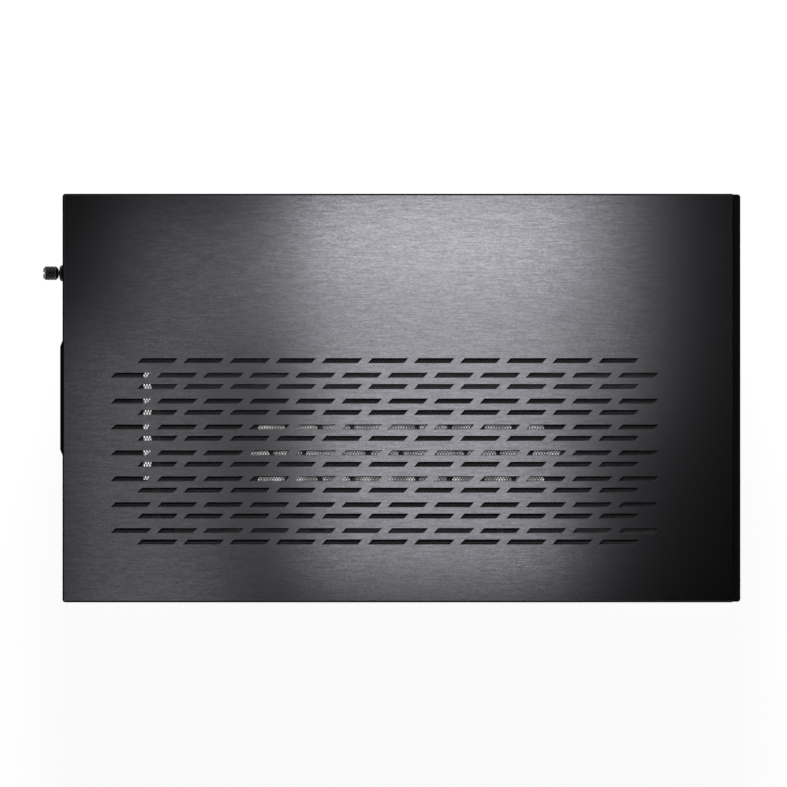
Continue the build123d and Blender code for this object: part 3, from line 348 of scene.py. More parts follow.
def make_finishes():
    """Every finish, by the record's name of its slot."""
    colours = bpy.context.scene.tower_colours
    light, dark = tuple(colours.brushed_light), tuple(colours.brushed_dark)
    finishes.update({
        "brushed_top": brushed("brushed_top", light, dark, 0),
        "band_aluminium": brushed("band_aluminium", light, dark, 0, 0.26),
        "strip_aluminium": brushed("strip_aluminium", light, dark, 2, 0.26),
        "black_steel": coated("black_steel", tuple(colours.steel), 0.55),
        # A darker, duller copy of the black powder coat: painted shade on the parts that outline the top.
        "folded_steel": coated("folded_steel", (0.009, 0.009, 0.01), 0.6, 0.22),
        "black_oxide": coated("black_oxide", (0.02, 0.02, 0.021), 0.3, 0.2, 700.0, 0.01 * mm),
        "grey_steel": satin("grey_steel", tuple(colours.grey_steel), 0.42, 0.3),
        "glass_rail": satin("glass_rail", (0.018, 0.018, 0.02), 0.42, 0.2),
        "tinted_glass": tinted("tinted_glass", tuple(colours.glass)),
        "black_plastic": moulded("black_plastic", (0.018, 0.018, 0.019)),
        "filter_mesh": woven("filter_mesh", (0.32, 0.32, 0.34)),
        "button_metal": satin("button_metal", (0.13, 0.13, 0.14), 0.25, 1.0),
        "light_pipe": lamp_lens("light_pipe"),
        "board_green": board("board_green"),
        "black_rubber": moulded("black_rubber", (0.012, 0.012, 0.012), 0.72, 1400.0),
        "brass": satin("brass", (0.6, 0.43, 0.19), 0.28, 1.0),
        "screw_steel": satin("screw_steel", (0.16, 0.16, 0.17), 0.3, 1.0),
        # Edge tint of nought: painted shade, which darkens the thumbscrew's outline at grazing angles.
        "knurled_steel": satin("knurled_steel", (0.2, 0.2, 0.205), 0.27, 1.0, 0.0),
        "stud_steel": satin("stud_steel", (0.6, 0.6, 0.63), 0.25, 1.0),
    })


# Carried-over nodes whose finish isn't the one of their slot; the darkened steel is painted shade on the
# top's outline
OTHER_FINISH = {
    "front_strip": "strip_aluminium",
    "front_top_trim": "folded_steel",
    "top_carrier": "folded_steel",
}


def dress_nodes():
    """Gives every carried-over node its finish."""
    for row in frame["record"]["subparts"]:
        name = row["node"]
        mesh = frame["nodes"][name].data
        mesh.materials.clear()
        mesh.materials.append(finishes[OTHER_FINISH.get(name, row["material_slot"])])


# ---------------------------------------------------------------- making pieces


def add_piece(name, mesh, body, slot, replaced=(), smooth=None, finish=None):
    """Puts a finished mesh in the scene, on its body, with its slot's finish or another."""
    mesh.name = name
    mesh.materials.clear()
    mesh.materials.append(finishes[finish or slot])
    piece = bpy.data.objects.new(name, mesh)
    bpy.context.scene.collection.objects.link(piece)
    if smooth is not None:
        mesh.shade_smooth()
        mesh.set_sharp_from_angle(angle=math.radians(smooth))
    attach(piece, body)
    if replaced:
        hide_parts(*replaced)


class Pattern(Sheet):
    """A tree of geometry that is being drawn, with named inputs."""

    KINDS = {"length": "NodeSocketFloat", "count": "NodeSocketInt", "place": "NodeSocketVector"}

    def __init__(self, name, inputs):
        super().__init__(bpy.data.node_groups.new(name, "GeometryNodeTree"))
        self.tree.interface.new_socket("Places", in_out="INPUT", socket_type="NodeSocketGeometry")
        self.sockets = {}
        for key, (kind, value) in inputs.items():
            socket = self.tree.interface.new_socket(key, in_out="INPUT", socket_type=self.KINDS[kind])
            self.sockets[key] = (socket.identifier, value)
        self.tree.interface.new_socket("Geometry", in_out="OUTPUT", socket_type="NodeSocketGeometry")
        self.entry = self.tree.nodes.new("NodeGroupInput")
        self.template = None

    def __getitem__(self, key):
        """The input of that name."""
        return Value(self, self.entry.outputs[key])

    def triple(self, x=0.0, y=0.0, z=0.0):
        """Three numbers as a place or a size."""
        return self.node("ShaderNodeCombineXYZ", {}, {"X": x, "Y": y, "Z": z})

    def moved(self, geometry, place):
        return self.node("GeometryNodeTransform", {}, {"Geometry": geometry, "Translation": place})

    def joined(self, parts):
        return self.node("GeometryNodeJoinGeometry", {}, {"Geometry": parts})

    def copied(self, shape, points, **values):
        """Copies of a shape at points, with the turn and the scale that values give."""
        return self.node("GeometryNodeInstanceOnPoints", {}, {"Points": points, "Instance": shape, **values})

    def cuboid(self, size):
        return self.node("GeometryNodeMeshCube", {}, {"Size": size})

    def cut(self, shape, tool):
        """A shape with another cut out of it."""
        settings = {"operation": "DIFFERENCE", "solver": "EXACT"}
        return self.node("GeometryNodeMeshBoolean", settings, {"Mesh 1": shape, "Mesh 2": tool})

    def given(self, mesh):
        """A mesh as geometry, by way of an object that goes when the tree ends."""
        self.template = bpy.data.objects.new("template", mesh)
        bpy.context.scene.collection.objects.link(self.template)
        return self.node("GeometryNodeObjectInfo", {}, {"Object": self.template}, out="Geometry")

    def finished(self, geometry, slot, places=()):
        """Ends the tree and gives the mesh that it makes, from points where it copies a piece."""
        solid = self.node("GeometryNodeRealizeInstances", {}, {"Geometry": geometry})
        dressed = self.node("GeometryNodeSetMaterial", {}, {"Geometry": solid, "Material": finishes[slot]})
        self.node("NodeGroupOutput", {}, {"Geometry": dressed})
        points = bpy.data.meshes.new("holder")
        points.from_pydata(places, [], [])
        holder = bpy.data.objects.new("holder", points)
        bpy.context.scene.collection.objects.link(holder)
        modifier = holder.modifiers.new("pattern", "NODES")
        modifier.node_group = self.tree
        for identifier, value in self.sockets.values():
            modifier[identifier] = value
        graph = bpy.context.evaluated_depsgraph_get()
        mesh = bpy.data.meshes.new_from_object(holder.evaluated_get(graph))
        holder.modifiers.remove(modifier)
        for passing in (holder, self.template):
            if passing:
                bpy.data.objects.remove(passing)
        return mesh


# Points that lie no further apart than this are one point
NEAR = 0.0001 * mm


def edited(mesh, edit):
    """Runs an edit on a mesh through bmesh."""
    shape = bmesh.new()
    shape.from_mesh(mesh)
    edit(shape)
    shape.to_mesh(mesh)
    shape.free()
    return mesh


def joined_seams(mesh):
    """Merges points that lie on each other."""
    return edited(mesh, lambda shape: bmesh.ops.remove_doubles(shape, verts=shape.verts, dist=NEAR))


def welded(mesh, reach=0.002 * mm):
    """Merges points that all but lie on each other and drops faces without area."""

    def weld(shape):
        bmesh.ops.remove_doubles(shape, verts=shape.verts, dist=reach)
        bmesh.ops.dissolve_degenerate(shape, edges=shape.edges, dist=reach)

    return edited(mesh, weld)


def slotted_plate(sizes, low, high, vent, slot):
    """A plate between two corners with the staggered slots about the vent's middle."""
    middle = (low + high) / 2
    extent = high - low
    pattern = Pattern("slotted_plate", {
        "Length": ("length", extent.x),
        "Width": ("length", extent.y),
        "Middle": ("place", (middle.x, middle.y, low.z)),
        "Vent": ("place", (*vent, low.z)),
        "Columns": ("count", sizes.columns),
        "Rows": ("count", sizes.pairs),
        "Pitch": ("length", sizes.slot_pitch),
        "Row spacing": ("length", sizes.row_pair),
        "Drop": ("length", sizes.row_drop),
        "Shift": ("length", sizes.row_shift),
        "Slot length": ("length", sizes.slot_length),
        "Slot height": ("length", sizes.slot_height),
        "Slant": ("length", sizes.slot_slant),
    })
    length, height, slant = (pattern[key] for key in ("Slot length", "Slot height", "Slant"))
    pitch, spacing, columns, rows = (pattern[key] for key in ("Pitch", "Row spacing", "Columns", "Rows"))
    outline = pattern.node("GeometryNodeCurvePrimitiveQuadrilateral", {"mode": "POINTS"}, {
        "Point 1": pattern.triple(), "Point 2": pattern.triple(length),
        "Point 3": pattern.triple(length + slant, height), "Point 4": pattern.triple(slant, height)})
    first = ((columns - 1) * pitch + length + slant) * -0.5

    def field(across, down, x, y):
        """Slots at the points of a grid that begins at x and has y at its middle."""
        grid = pattern.node("GeometryNodeMeshGrid", {}, {
            "Size X": (across - 1) * pitch, "Size Y": (down - 1) * spacing,
            "Vertices X": across, "Vertices Y": down})
        return pattern.copied(outline, pattern.moved(grid, pattern.triple(x + (across - 1) * pitch * 0.5, y)))

    short = field(columns - 1, rows + 1, first + pattern["Shift"], height * -0.5)
    long = field(columns, rows, first, pattern["Drop"] - spacing * 0.5 - height * 0.5)
    slots = pattern.node("GeometryNodeRealizeInstances", {}, {"Geometry": pattern.joined([short, long])})
    slots = pattern.moved(slots, pattern["Vent"])
    border = pattern.node("GeometryNodeCurvePrimitiveQuadrilateral", {"mode": "RECTANGLE"}, {
        "Width": pattern["Length"], "Height": pattern["Width"]})
    loops = pattern.joined([pattern.moved(border, pattern["Middle"]), slots])
    mesh = pattern.finished(pattern.node("GeometryNodeFillCurve", {}, {"Curve": loops}), slot)

    def on_top(edge):
        """Whether an edge is one of the upper side's, and not inside a face."""
        return (len(edge.link_faces) == 2 and edge.calc_face_angle() > 0.5
                and all(vert.co.z > low.z + extent.z * 0.95 for vert in edge.verts))

    def on_border(edge):
        """Whether an edge lies on the border of the plate, and not on a slot."""
        centre = (edge.verts[0].co + edge.verts[1].co) / 2
        return any(abs(centre[axis] - middle[axis]) > extent[axis] / 2 - 0.01 * mm for axis in (0, 1))

    def thicken(shape):
        """Extrudes the sheet and bevels its upper edges, those of the border less."""
        for vert in shape.verts:
            vert.co.z = low.z
        bmesh.ops.remove_doubles(shape, verts=shape.verts, dist=0.001 * mm)
        bmesh.ops.dissolve_limit(shape, angle_limit=0.01, verts=shape.verts, edges=shape.edges)
        faces = bmesh.ops.extrude_face_region(shape, geom=shape.faces[:], use_keep_orig=True)["geom"]
        lifted = [item for item in faces if isinstance(item, bmesh.types.BMVert)]
        bmesh.ops.translate(shape, verts=lifted, vec=(0, 0, extent.z))
        bmesh.ops.recalc_face_normals(shape, faces=shape.faces)
        for border_turn, share in ((False, 1.0), (True, 0.35)):
            rim = [edge for edge in shape.edges if on_top(edge) and on_border(edge) == border_turn]
            bmesh.ops.bevel(shape, geom=rim, offset=sizes.slot_edge * share, segments=1,
                            affect="EDGES", clamp_overlap=True)
        bmesh.ops.triangulate(shape, faces=[face for face in shape.faces if len(face.verts) > 4])

    return edited(mesh, thicken)


def crossed_wires(name, low, high, sizes, width_share, upright, slot):
    """A mesh of diagonal wires in two layers that fills a box."""
    middle = (low + high) / 2
    extent = high - low
    across, depth = (extent.z, extent.y) if upright else (extent.y, extent.z)
    half_x, half_y = extent.x / 2, across / 2
    rise = math.tan(sizes.wire_angle)
    count = int(2 * (half_x + half_y / rise) / sizes.wire_pitch)
    pattern = Pattern(name, {
        "Half length": ("length", half_x),
        "Half width": ("length", half_y),
        "Depth": ("length", depth),
        "Pitch": ("length", sizes.wire_pitch),
        "Rise": ("length", rise),
        "Wire": ("length", sizes.wire_width * width_share),
        "Count": ("count", count),
    })
    a, b = pattern["Half length"], pattern["Half width"]
    index = pattern.node("GeometryNodeInputIndex")
    offset = (index - (pattern["Count"] - 1) * 0.5) * pattern["Pitch"]
    run = b / pattern["Rise"]
    start = pattern.maths("MAXIMUM", a * -1, offset - run)
    end = pattern.maths("MINIMUM", a, offset + run)
    mid = (start + end) * 0.5
    reach = pattern.maths("MAXIMUM", (end - start) / math.cos(sizes.wire_angle), 0.0)
    points = pattern.node("GeometryNodeMeshLine", {}, {"Count": pattern["Count"], "Offset": (0, 0, 0)})
    layers = []
    for hand in (1, -1):
        placed = pattern.node("GeometryNodeSetPosition", {}, {
            "Geometry": points,
            "Position": pattern.triple(mid, (mid - offset) * pattern["Rise"] * hand,
                                       pattern["Depth"] * 0.25 * hand)})
        bar = pattern.cuboid(pattern.triple(1.0, pattern["Wire"], pattern["Depth"] * 0.5))
        layers.append(pattern.copied(bar, placed, Rotation=(0, 0, hand * sizes.wire_angle),
                                     Scale=pattern.triple(reach, 1.0, 1.0)))
    mesh = pattern.finished(pattern.joined(layers), slot)
    turn = Matrix.Rotation(math.pi / 2, 4, "X") if upright else Matrix.Identity(4)
    mesh.transform(Matrix.Translation(middle) @ turn)

    def clip(shape):
        """Pulls what stands out of the box back to its sides."""
        for vert in shape.verts:
            inside = Vector([min(max(part, least), most) for part, least, most in zip(vert.co, low, high)])
            if any(abs(step) > NEAR for step in vert.co - inside):
                vert.co = inside

    return edited(mesh, clip)


def revolved(profile, steps, radius_at=None):
    """A closed solid about X from (x, radius) pairs that start and end on the axis or meet."""

    def point(x, radius, step):
        angle = 2 * math.pi * step / steps
        r = radius_at(x, radius, angle) if radius_at else radius
        return (x, r * math.cos(angle), r * math.sin(angle))

    def build(shape):
        rings = [[shape.verts.new(point(x, radius, step)) for step in range(steps)] if radius
                 else [shape.verts.new((x, 0, 0))] for x, radius in profile]
        for near, far in zip(rings, rings[1:]):
            for step in range(steps):
                after = (step + 1) % steps
                loop = [near[step % len(near)], near[after % len(near)],
                        far[after % len(far)], far[step % len(far)]]
                corners = list(dict.fromkeys(loop))
                if len(corners) > 2:
                    shape.faces.new(corners)
        bmesh.ops.recalc_face_normals(shape, faces=shape.faces)

    return edited(bpy.data.meshes.new("turned"), build)


def bridged(loops, closed=False):
    """A solid through loops of equally many points: a ring when closed, and capped otherwise."""

    def build(shape):
        rings = [[shape.verts.new(point) for point in loop] for loop in loops]
        following = rings[1:] + rings[:1] if closed else rings[1:]
        for near, far in zip(rings, following):
            for step in range(len(near)):
                after = (step + 1) % len(near)
                shape.faces.new((near[step], near[after], far[after], far[step]))
        if not closed:
            shape.faces.new(rings[0])
            shape.faces.new(rings[-1])
        bmesh.ops.recalc_face_normals(shape, faces=shape.faces)

    return edited(bpy.data.meshes.new("bridged"), build)


def rounded_loop(length, width, radius, level, steps=4):
    """Points round a rectangle with rounded corners, about the origin."""
    points = []
    for quarter, (x, y) in enumerate(((1, 1), (-1, 1), (-1, -1), (1, -1))):
        for step in range(steps + 1):
            angle = math.pi / 2 * (quarter + step / steps)
            points.append((x * (length / 2 - radius) + radius * math.cos(angle),
                           y * (width / 2 - radius) + radius * math.sin(angle), level))
    return points


def stacked(rings, closed=False):
    """A solid through rounded rectangles: length, width, radius and level of each, in millimetres."""
    return bridged([rounded_loop(*(part * mm for part in ring)) for ring in rings], closed)


def threaded_screw(head_r, head, shank_r, length, turns=8):
    """A pan-head screw about X, with its head towards -X from the origin."""
    root = shank_r * 0.8
    pitch = length / (turns + 1)
    profile = [(-head, 0), (-head, head_r * 0.6), (-head * 0.75, head_r * 0.86), (-head * 0.3, head_r),
               (0, head_r), (0, root)]
    for turn in range(turns):
        profile += [((turn + 0.75) * pitch, shank_r), ((turn + 1.25) * pitch, root)]
    return revolved([*profile, (length, shank_r * 0.6), (length, 0)], 20)


def notched(mesh, place, size):
    """The mesh with a box cut out of it."""
    pattern = Pattern("notched", {"Place": ("place", place), "Size": ("place", size)})
    box = pattern.moved(pattern.cuboid(pattern["Size"]), pattern["Place"])
    return welded(pattern.finished(pattern.cut(pattern.given(mesh), box), "screw_steel"))


def repeated(name, template, places, slot, turn=(0, 0, 0), recess=None):
    """Copies of a small mesh at places, with a cross recess in the -X end of each where asked."""
    inputs = {"Turn": ("place", turn)}
    names = ("Recess top", "Recess across", "Recess width", "Recess depth")
    inputs.update((key, ("length", size)) for key, size in zip(names, recess or ()))
    pattern = Pattern(name, inputs)
    shape = pattern.given(template)
    if recess:
        top, across, width, depth = (pattern[key] for key in names)
        for y, z in ((across, width), (width, across)):
            bar = pattern.cuboid(pattern.triple(depth * 2, y, z))
            shape = pattern.cut(shape, pattern.moved(bar, pattern.triple(top)))
    copies = pattern.copied(shape, pattern["Places"], Rotation=pattern["Turn"])
    mesh = pattern.finished(copies, slot, places)
    return welded(mesh) if recess else mesh


# ---------------------------------------------------------------- pieces of the case

VENT_MIDDLE = (-4.7 * mm, -37.0 * mm)
CARD_PITCH = 20.32 * mm


def card_heights():
    """The height of each card cover's middle."""
    low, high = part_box("slot_covers")
    count = round((high.z - low.z) / CARD_PITCH)
    return [(low.z + high.z) / 2 + (step - (count - 1) / 2) * CARD_PITCH for step in range(count)]


class TOWER_OT_finishes(bpy.types.Operator):
    """Makes the finishes and dresses the carried-over nodes"""

    bl_idname = "tower.finishes"
    bl_label = "Finishes"

    def execute(self, context):
        make_finishes()
        dress_nodes()
        return {"FINISHED"}


class TOWER_OT_top_plate(bpy.types.Operator):
    """Makes the brushed top plate with its staggered slots"""

    bl_idname = "tower.top_plate"
    bl_label = "Top plate"

    def execute(self, context):
        sizes = context.scene.tower_sizes
        mesh = slotted_plate(sizes, plate_low, plate_high, VENT_MIDDLE, "brushed_top")
        add_piece("slotted_top", mesh, "top_panel", "brushed_top", ["top_plate"])
        return {"FINISHED"}


class TOWER_OT_meshes(bpy.types.Operator):
    """Makes the wire mesh of the top and of both filters"""

    bl_idname = "tower.meshes"
    bl_label = "Meshes and filters"

    def execute(self, context):
        sizes = context.scene.tower_sizes
        for name, node, body, width_share, upright in (
            ("top_wire_mesh", "top_mesh", "top_panel", 1.0, False),
            ("side_wire_mesh", "side_filter_mesh", "steel_panel", 1.0, True),
            ("floor_wire_mesh", "bottom_filter_mesh", "floor_filter", 0.6, False),
        ):
            low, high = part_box(node)
            mesh = crossed_wires(name, low, high, sizes, width_share, upright, "filter_mesh")
            add_piece(name, mesh, body, "filter_mesh", [node])
        return {"FINISHED"}


class TOWER_OT_thumbscrew(bpy.types.Operator):
    """Makes the knurled captive thumbscrew and its ferrule"""

    bl_idname = "tower.thumbscrew"
    bl_label = "Thumbscrew"

    def execute(self, context):
        depth = context.scene.tower_sizes.knurl_depth
        low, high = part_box("thumbscrew")
        axis = Vector((0, (low.y + high.y) / 2, (low.z + high.z) / 2))
        end, start = low.x, low.x + 10.5 * mm
        radius, chamfer, neck, collar, core = (part * mm for part in (4.8, 1.7, 2.0, 3.1, 1.6))
        rings, ridges, lead, fading = 56, 12, 2.4 * mm, 0.6 * mm

        def knurl(x, r, angle):
            """The radius with two crossing sets of grooves, which fade out at both ends."""
            if r < radius:
                return r
            turns = angle * ridges / (2 * math.pi)
            heights = [1 - abs(2 * ((turns + hand * x / lead) % 1.0) - 1) for hand in (1, -1)]
            fade = min(1.0, (x - end - chamfer) / fading, (start - chamfer - x) / fading)
            return r - depth * fade * (1 - min(1.0, min(heights) * 1.5))

        grip = [end + chamfer + (start - end - 2 * chamfer) * step / rings for step in range(rings + 1)]
        collar_end, collar_start = high.x - 4.7 * mm, high.x - 4.0 * mm
        profile = [(end, 0), (end, radius - chamfer), *((x, radius) for x in grip),
                   (start, radius - chamfer), (start, neck), (collar_end, neck), (collar_end, collar),
                   (collar_start, collar), (collar_start, neck)]
        x, pitch = high.x - 3.6 * mm, 0.7 * mm
        while x < high.x - 0.6 * mm:
            profile += [(x, core), (x + pitch / 2, neck)]
            x += pitch
        mesh = revolved([*profile, (high.x, 1.5 * mm), (high.x, 0)], 208, knurl)
        mesh = notched(mesh, (end, 0, 0), (2.4 * mm, 1.1 * mm, 4 * radius))
        mesh.transform(Matrix.Translation(axis))
        for vert in mesh.vertices:
            vert.co.x = max(vert.co.x, end)
        add_piece("knurled_thumbscrew", mesh, "thumbscrew_body", "screw_steel", ["thumbscrew"], 40,
                  "knurled_steel")

        lip_reach = 2.4 * mm
        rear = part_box("top_carrier")[0].x + lip_reach
        low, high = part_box("screw_ferrule")
        bore, sleeve, outer, dome = 2.08 * mm, 3.4 * mm, 5.65 * mm, 1.9 * mm
        arc = [(low.x + dome - dome * math.cos(turn), outer - dome + dome * math.sin(turn))
               for turn in (math.pi / 2 * step / 8 for step in range(9))]
        profile = [(low.x, bore), *arc, (rear, outer), (rear, sleeve), (high.x, sleeve), (high.x, bore),
                   (low.x, bore)]
        mesh = revolved(profile, 96)
        mesh.transform(Matrix.Translation(axis))
        joined_seams(mesh)
        add_piece("domed_ferrule", mesh, "top_panel", "screw_steel", ["screw_ferrule"], 35, "black_oxide")
        return {"FINISHED"}


class TOWER_OT_fasteners(bpy.types.Operator):
    """Makes the cross-recess screws of the card covers and the rivets of the rear panel"""

    bl_idname = "tower.fasteners"
    bl_label = "Screws and rivets"

    def execute(self, context):
        low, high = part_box("slot_screws")
        head, head_r, shank_r = 2.2 * mm, 3.0 * mm, 1.5 * mm
        seat = high.y - head
        screw = threaded_screw(head_r, head, shank_r, seat - low.y)
        places = [((low.x + high.x) / 2, seat, height) for height in card_heights()]
        recess = (-head, 3.4 * mm, 0.9 * mm, 1.3 * mm)
        mesh = repeated("card_screws", screw, places, "screw_steel", (0, 0, -math.pi / 2), recess)
        add_piece("card_screws", mesh, "chassis", "screw_steel", ["slot_screws"], 40)

        low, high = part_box("rear_panel")
        profile = [(-0.8, 0), (-0.76, 0.8), (-0.5, 1.7), (0, 2.3), (0.3, 2.3), (0.3, 0)]
        rivet = revolved([(x * mm, r * mm) for x, r in profile], 20)
        inset, heights = 8 * mm, (62, 190, 318, 470)
        places = [(low.x, side * (high.y - inset), height * mm) for side in (-1, 1) for height in heights]
        mesh = repeated("rear_rivets", rivet, places, "screw_steel")
        add_piece("rear_rivets", mesh, "chassis", "screw_steel", (), 40)
        return {"FINISHED"}


class TOWER_OT_covers(bpy.types.Operator):
    """Makes the stamped beads of the card covers"""

    bl_idname = "tower.covers"
    bl_label = "Cover beads"

    def execute(self, context):
        low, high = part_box("slot_covers")
        bead = stacked(((80, 6.4, 3.1, -0.4), (80, 6.4, 3.1, 0), (79, 5.4, 2.6, 0.5), (77, 3.6, 1.7, 0.7)))
        on_rear = Matrix(((0, 0, -1, 0), (1, 0, 0, 0), (0, -1, 0, 0), (0, 0, 0, 1)))
        bead.transform(on_rear)
        places = [(low.x, (low.y + high.y) / 2, height) for height in card_heights()]
        mesh = repeated("cover_beads", bead, places, "black_steel")
        add_piece("cover_beads", mesh, "chassis", "black_steel", (), 40)
        return {"FINISHED"}


class TOWER_OT_feet(bpy.types.Operator):
    """Makes the turned feet and their ringed rubber pads"""

    bl_idname = "tower.feet"
    bl_label = "Feet and pads"

    def execute(self, context):
        low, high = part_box("feet")
        inset = 20 * mm
        places = [(x, y, 0) for x in (low.x + inset, high.x - inset) for y in (low.y + inset, high.y - inset)]
        upright = Matrix.Rotation(-math.pi / 2, 4, "Y")
        # Height over the ground and radius, in millimetres, here and for the pads
        profile = [(4, 2.5), (4, 16.3), (4.7, 17), (9, 17.7), (9.4, 17.2), (10.6, 17.2), (11, 18), (21, 19.5),
                   (21.4, 19), (22.4, 19), (22.8, 19.75), (24, 19.95), (24, 2.5), (4, 2.5)]
        foot = revolved([(z * mm, r * mm) for z, r in profile], 72)
        joined_seams(foot)
        foot.transform(upright)
        mesh = repeated("turned_feet", foot, places, "band_aluminium")
        add_piece("turned_feet", mesh, "chassis", "band_aluminium", ["feet"], 35)
        profile = [(4, 0), (4, 15), (1, 15), (0.3, 14.6), (0, 13.8)]
        for outer in (12.6, 9.2, 5.8):
            profile += [(0, outer), (0.7, outer - 0.4), (0.7, outer - 1.4), (0, outer - 1.8)]
        pad = revolved([(z * mm, r * mm) for z, r in [*profile, (0, 2.6), (1, 2.2), (1, 0)]], 48)
        pad.transform(upright)
        mesh = repeated("ringed_pads", pad, places, "black_rubber")
        add_piece("ringed_pads", mesh, "chassis", "black_rubber", ["foot_pads"], 35)
        return {"FINISHED"}


class TOWER_OT_grommets(bpy.types.Operator):
    """Makes the rubber cable grommets with their fingers"""

    bl_idname = "tower.grommets"
    bl_label = "Grommets"

    def execute(self, context):
        rings = ((14.4, 60.4, 1.2, 0), (21.4, 67.4, 3.7, 0), (22, 68, 4, 0.4), (22, 68, 4, 1),
                 (16, 62, 3.9, 1), (16, 62, 3.9, 2), (22, 68, 4, 2), (22, 68, 4, 2.6),
                 (21.4, 67.4, 3.7, 3), (14.4, 60.4, 1.2, 3))
        grommet = stacked(rings, True)
        a_side, gap = 19, 0.35 * mm
        pitch = rings[0][1] * mm / a_side
        size = Matrix.Diagonal((6.6 * mm, pitch - gap, 0.9 * mm, 1))

        def fingers(shape):
            for hand in (-1, 1):
                for finger in range(a_side):
                    place = (hand * 4.1 * mm, (finger - a_side // 2) * pitch, 1.5 * mm)
                    bmesh.ops.create_cube(shape, size=1, matrix=Matrix.Translation(place) @ size)

        edited(grommet, fingers)
        # Middles of the cable openings in the tray, those that stand and those that lie
        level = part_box("cable_grommets")[1].y
        upright = [(68 * mm, level, height * mm) for height in (212, 302, 392)]
        flat = [(x * mm, level, height * mm) for x, height in ((-144, 478), (-34, 478), (-60, 58), (30, 58))]
        mesh = repeated("upright_grommets", grommet, upright, "black_rubber", (math.pi / 2, 0, 0))
        add_piece("upright_grommets", mesh, "chassis", "black_rubber", ["cable_grommets"], 40)
        mesh = repeated("flat_grommets", grommet, flat, "black_rubber", (math.pi / 2, math.pi / 2, 0))
        add_piece("flat_grommets", mesh, "chassis", "black_rubber", (), 40)
        return {"FINISHED"}


class TOWER_OT_grips(bpy.types.Operator):
    """Makes the ridges on the handle of the floor filter"""

    bl_idname = "tower.grips"
    bl_label = "Grip ridges"

    def execute(self, context):
        low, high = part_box("bottom_filter_frame")
        ridge = stacked(((2.2, 2.4, 0.4, -0.4), (2.2, 2.4, 0.4, 0), (1.6, 1.8, 0.3, 0.3)))
        middle = (low + high) / 2
        pitch, each_way = 3.8 * mm, 7
        places = [(middle.x + step * pitch, low.y, middle.z) for step in range(-each_way, each_way + 1)]
        mesh = repeated("grip_ridges", ridge, places, "black_plastic", (math.pi / 2, 0, 0))
        add_piece("grip_ridges", mesh, "floor_filter", "black_plastic", (), 40)
        return {"FINISHED"}


# ---------------------------------------------------------------- stage

# The lamps whose mirror images shade the brushed top: place, size, watts and spread in degrees
MIRRORED_LAMPS = (
    ("key_lamp", (0.043, 0.142), (0.238, 0.087), 0.0245, 56.0),
    ("long_lamp", (0.038, -0.033), (0.213, 0.245), 0.0181, 40.0),
    ("front_lamp", (0.104, 0.114), (0.209, 0.268), 0.0105, 42.0),
    ("wide_lamp", (-0.061, 0.104), (0.327, 0.114), 0.0078, 59.0),
    ("low_lamp", (-0.211, -0.144), (0.136, 0.397), 0.0131, 61.0),
)
LAMP_HEIGHT = 1.513
AIM_HEIGHT = 0.5
FLOOR_REACH = 4

# The picture's pixels and the size of one at the height of the top plate
PICTURE_WIDTH = 787 * 0.6947 * mm


def make_floor(scene):
    """A pale floor, which glows for the rays that see it so that it looks white."""
    mesh = bpy.data.meshes.new("floor")
    corners = [(x * FLOOR_REACH, y * FLOOR_REACH, 0) for x, y in ((-1, -1), (1, -1), (1, 1), (-1, 1))]
    mesh.from_pydata(corners, [], [(0, 1, 2, 3)])
    floor = bpy.data.objects.new("floor", mesh)
    scene.collection.objects.link(floor)
    paper = Finish("pale_paper")
    matt = paper.node("ShaderNodeBsdfDiffuse", {}, {
        "Color": paper.blend(paper.noise(900.0), (0.8, 0.8, 0.8), (0.84, 0.84, 0.84))})
    camera, glossy, through = paper.rays("Is Camera Ray", "Is Glossy Ray", "Is Transmission Ray")
    seen = paper.maths("MINIMUM", camera + glossy + through, 1.0)
    glow = paper.node("ShaderNodeEmission", {}, {"Strength": seen * 0.93})
    mesh.materials.append(paper.end(paper.node("ShaderNodeAddShader", {}, {0: matt, 1: glow})))


def make_world(scene):
    """Surroundings that the camera sees white and that light the case mostly from low down."""
    world = bpy.data.worlds.new("studio")
    scene.world = world
    world.use_nodes = True
    sky = Sheet(world.node_tree)
    sky.tree.nodes.clear()
    where = sky.node("ShaderNodeTexCoord", out="Generated")
    height = sky.node("ShaderNodeSeparateXYZ", {}, {"Vector": where}, out="Z")
    ambient = sky.node("ShaderNodeMapRange", {"interpolation_type": "SMOOTHSTEP"}, {
        "Value": height, "From Min": 0.15, "From Max": 0.65, "To Min": 0.75, "To Max": 0.012})
    camera, diffuse = sky.rays("Is Camera Ray", "Is Diffuse Ray")
    level = ambient * (1 - diffuse * 0.88) + camera * (1 - ambient)
    light = sky.node("ShaderNodeBackground", {}, {"Color": (1, 1, 1, 1), "Strength": level})
    sky.node("ShaderNodeOutputWorld", {}, {"Surface": light})


def add_lamp(scene, name, place, size, power, aim, spread):
    """A rectangular lamp that the camera doesn't see."""
    data = bpy.data.lights.new(name, "AREA")
    data.shape = "RECTANGLE"
    data.size, data.size_y = size
    data.energy = power
    data.spread = math.radians(spread)
    lamp = bpy.data.objects.new(name, data)
    scene.collection.objects.link(lamp)
    lamp.location = place
    lamp.rotation_euler = (Vector(aim) - Vector(place)).to_track_quat("-Z", "Y").to_euler()
    lamp.visible_camera = False
    return lamp


def make_camera(scene):
    """A camera straight over the case."""
    data = bpy.data.cameras.new("camera")
    data.sensor_width = 36.0
    distance = 4.0
    data.lens = data.sensor_width * distance / PICTURE_WIDTH
    data.clip_start, data.clip_end = 0.1, 50.0
    camera = bpy.data.objects.new("camera", data)
    scene.collection.objects.link(camera)
    camera.location = (1.40 * mm, 3.16 * mm, plate_high.z + distance)
    scene.camera = camera


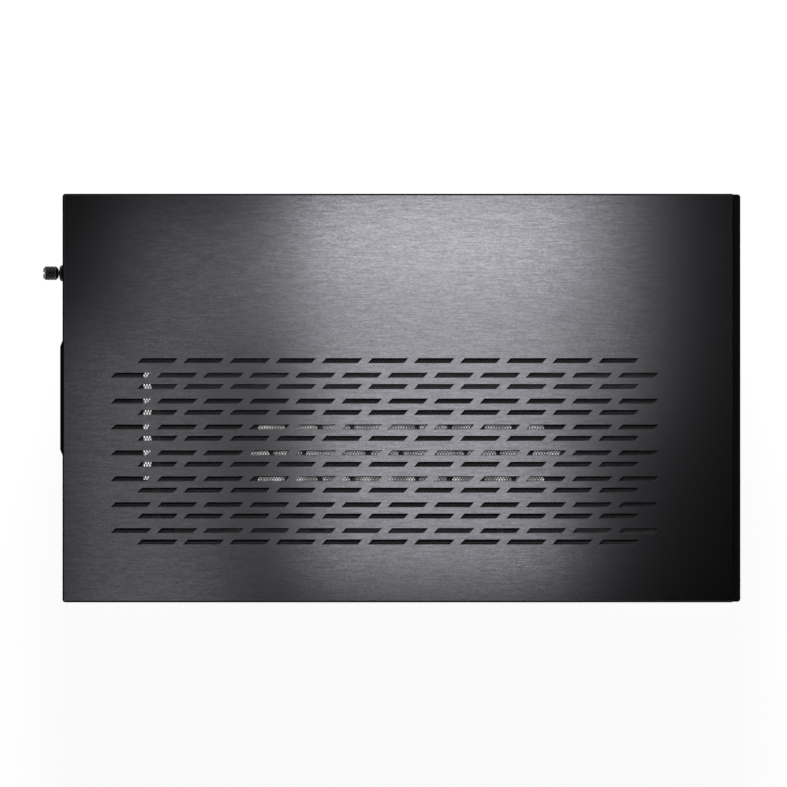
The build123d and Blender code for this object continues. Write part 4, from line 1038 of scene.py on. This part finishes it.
class TOWER_OT_stage(bpy.types.Operator):
    """Makes the floor, the lamps, the world and the camera"""

    bl_idname = "tower.stage"
    bl_label = "Stage"

    def execute(self, context):
        context.scene.view_settings.view_transform = "Standard"
        make_floor(context.scene)
        make_world(context.scene)
        for name, (x, y), size, power, spread in MIRRORED_LAMPS:
            place, aim = (x, y, LAMP_HEIGHT), (x, y, AIM_HEIGHT)
            lamp = add_lamp(context.scene, name, place, size, power, aim, spread)
            lamp.visible_diffuse = False
        place, aim = (0.0, 1.1, 2.5), (0.0, 0.0, AIM_HEIGHT)
        lamp = add_lamp(context.scene, "slant_lamp", place, (0.25, 0.25), 6.0, aim, 180.0)
        lamp.visible_glossy = False
        make_camera(context.scene)
        return {"FINISHED"}


# ---------------------------------------------------------------- add-on


STEPS = (
    TOWER_OT_stage,
    TOWER_OT_finishes,
    TOWER_OT_top_plate,
    TOWER_OT_meshes,
    TOWER_OT_thumbscrew,
    TOWER_OT_fasteners,
    TOWER_OT_covers,
    TOWER_OT_feet,
    TOWER_OT_grommets,
    TOWER_OT_grips,
)


class TOWER_PT_panel(bpy.types.Panel):
    """Lists the sizes and the steps"""

    bl_label = "Tower case"
    bl_idname = "TOWER_PT_panel"
    bl_space_type = "VIEW_3D"
    bl_region_type = "UI"
    bl_category = "Tower case"

    def draw(self, context):
        for group in (context.scene.tower_sizes, context.scene.tower_colours):
            for name in group.bl_rna.properties.keys():
                if name not in ("rna_type", "name"):
                    self.layout.prop(group, name)
        for step in STEPS:
            self.layout.operator(step.bl_idname)


CLASSES = (TowerSizes, TowerColours, *STEPS, TOWER_PT_panel)


def register():
    for each in CLASSES:
        bpy.utils.register_class(each)
    bpy.types.Scene.tower_sizes = PointerProperty(type=TowerSizes)
    bpy.types.Scene.tower_colours = PointerProperty(type=TowerColours)


def unregister():
    del bpy.types.Scene.tower_colours
    del bpy.types.Scene.tower_sizes
    for each in reversed(CLASSES):
        bpy.utils.unregister_class(each)


def main():
    register()
    for step in STEPS:
        group, name = step.bl_idname.split(".")
        getattr(getattr(bpy.ops, group), name)()


if __name__ == "__main__":
    main()
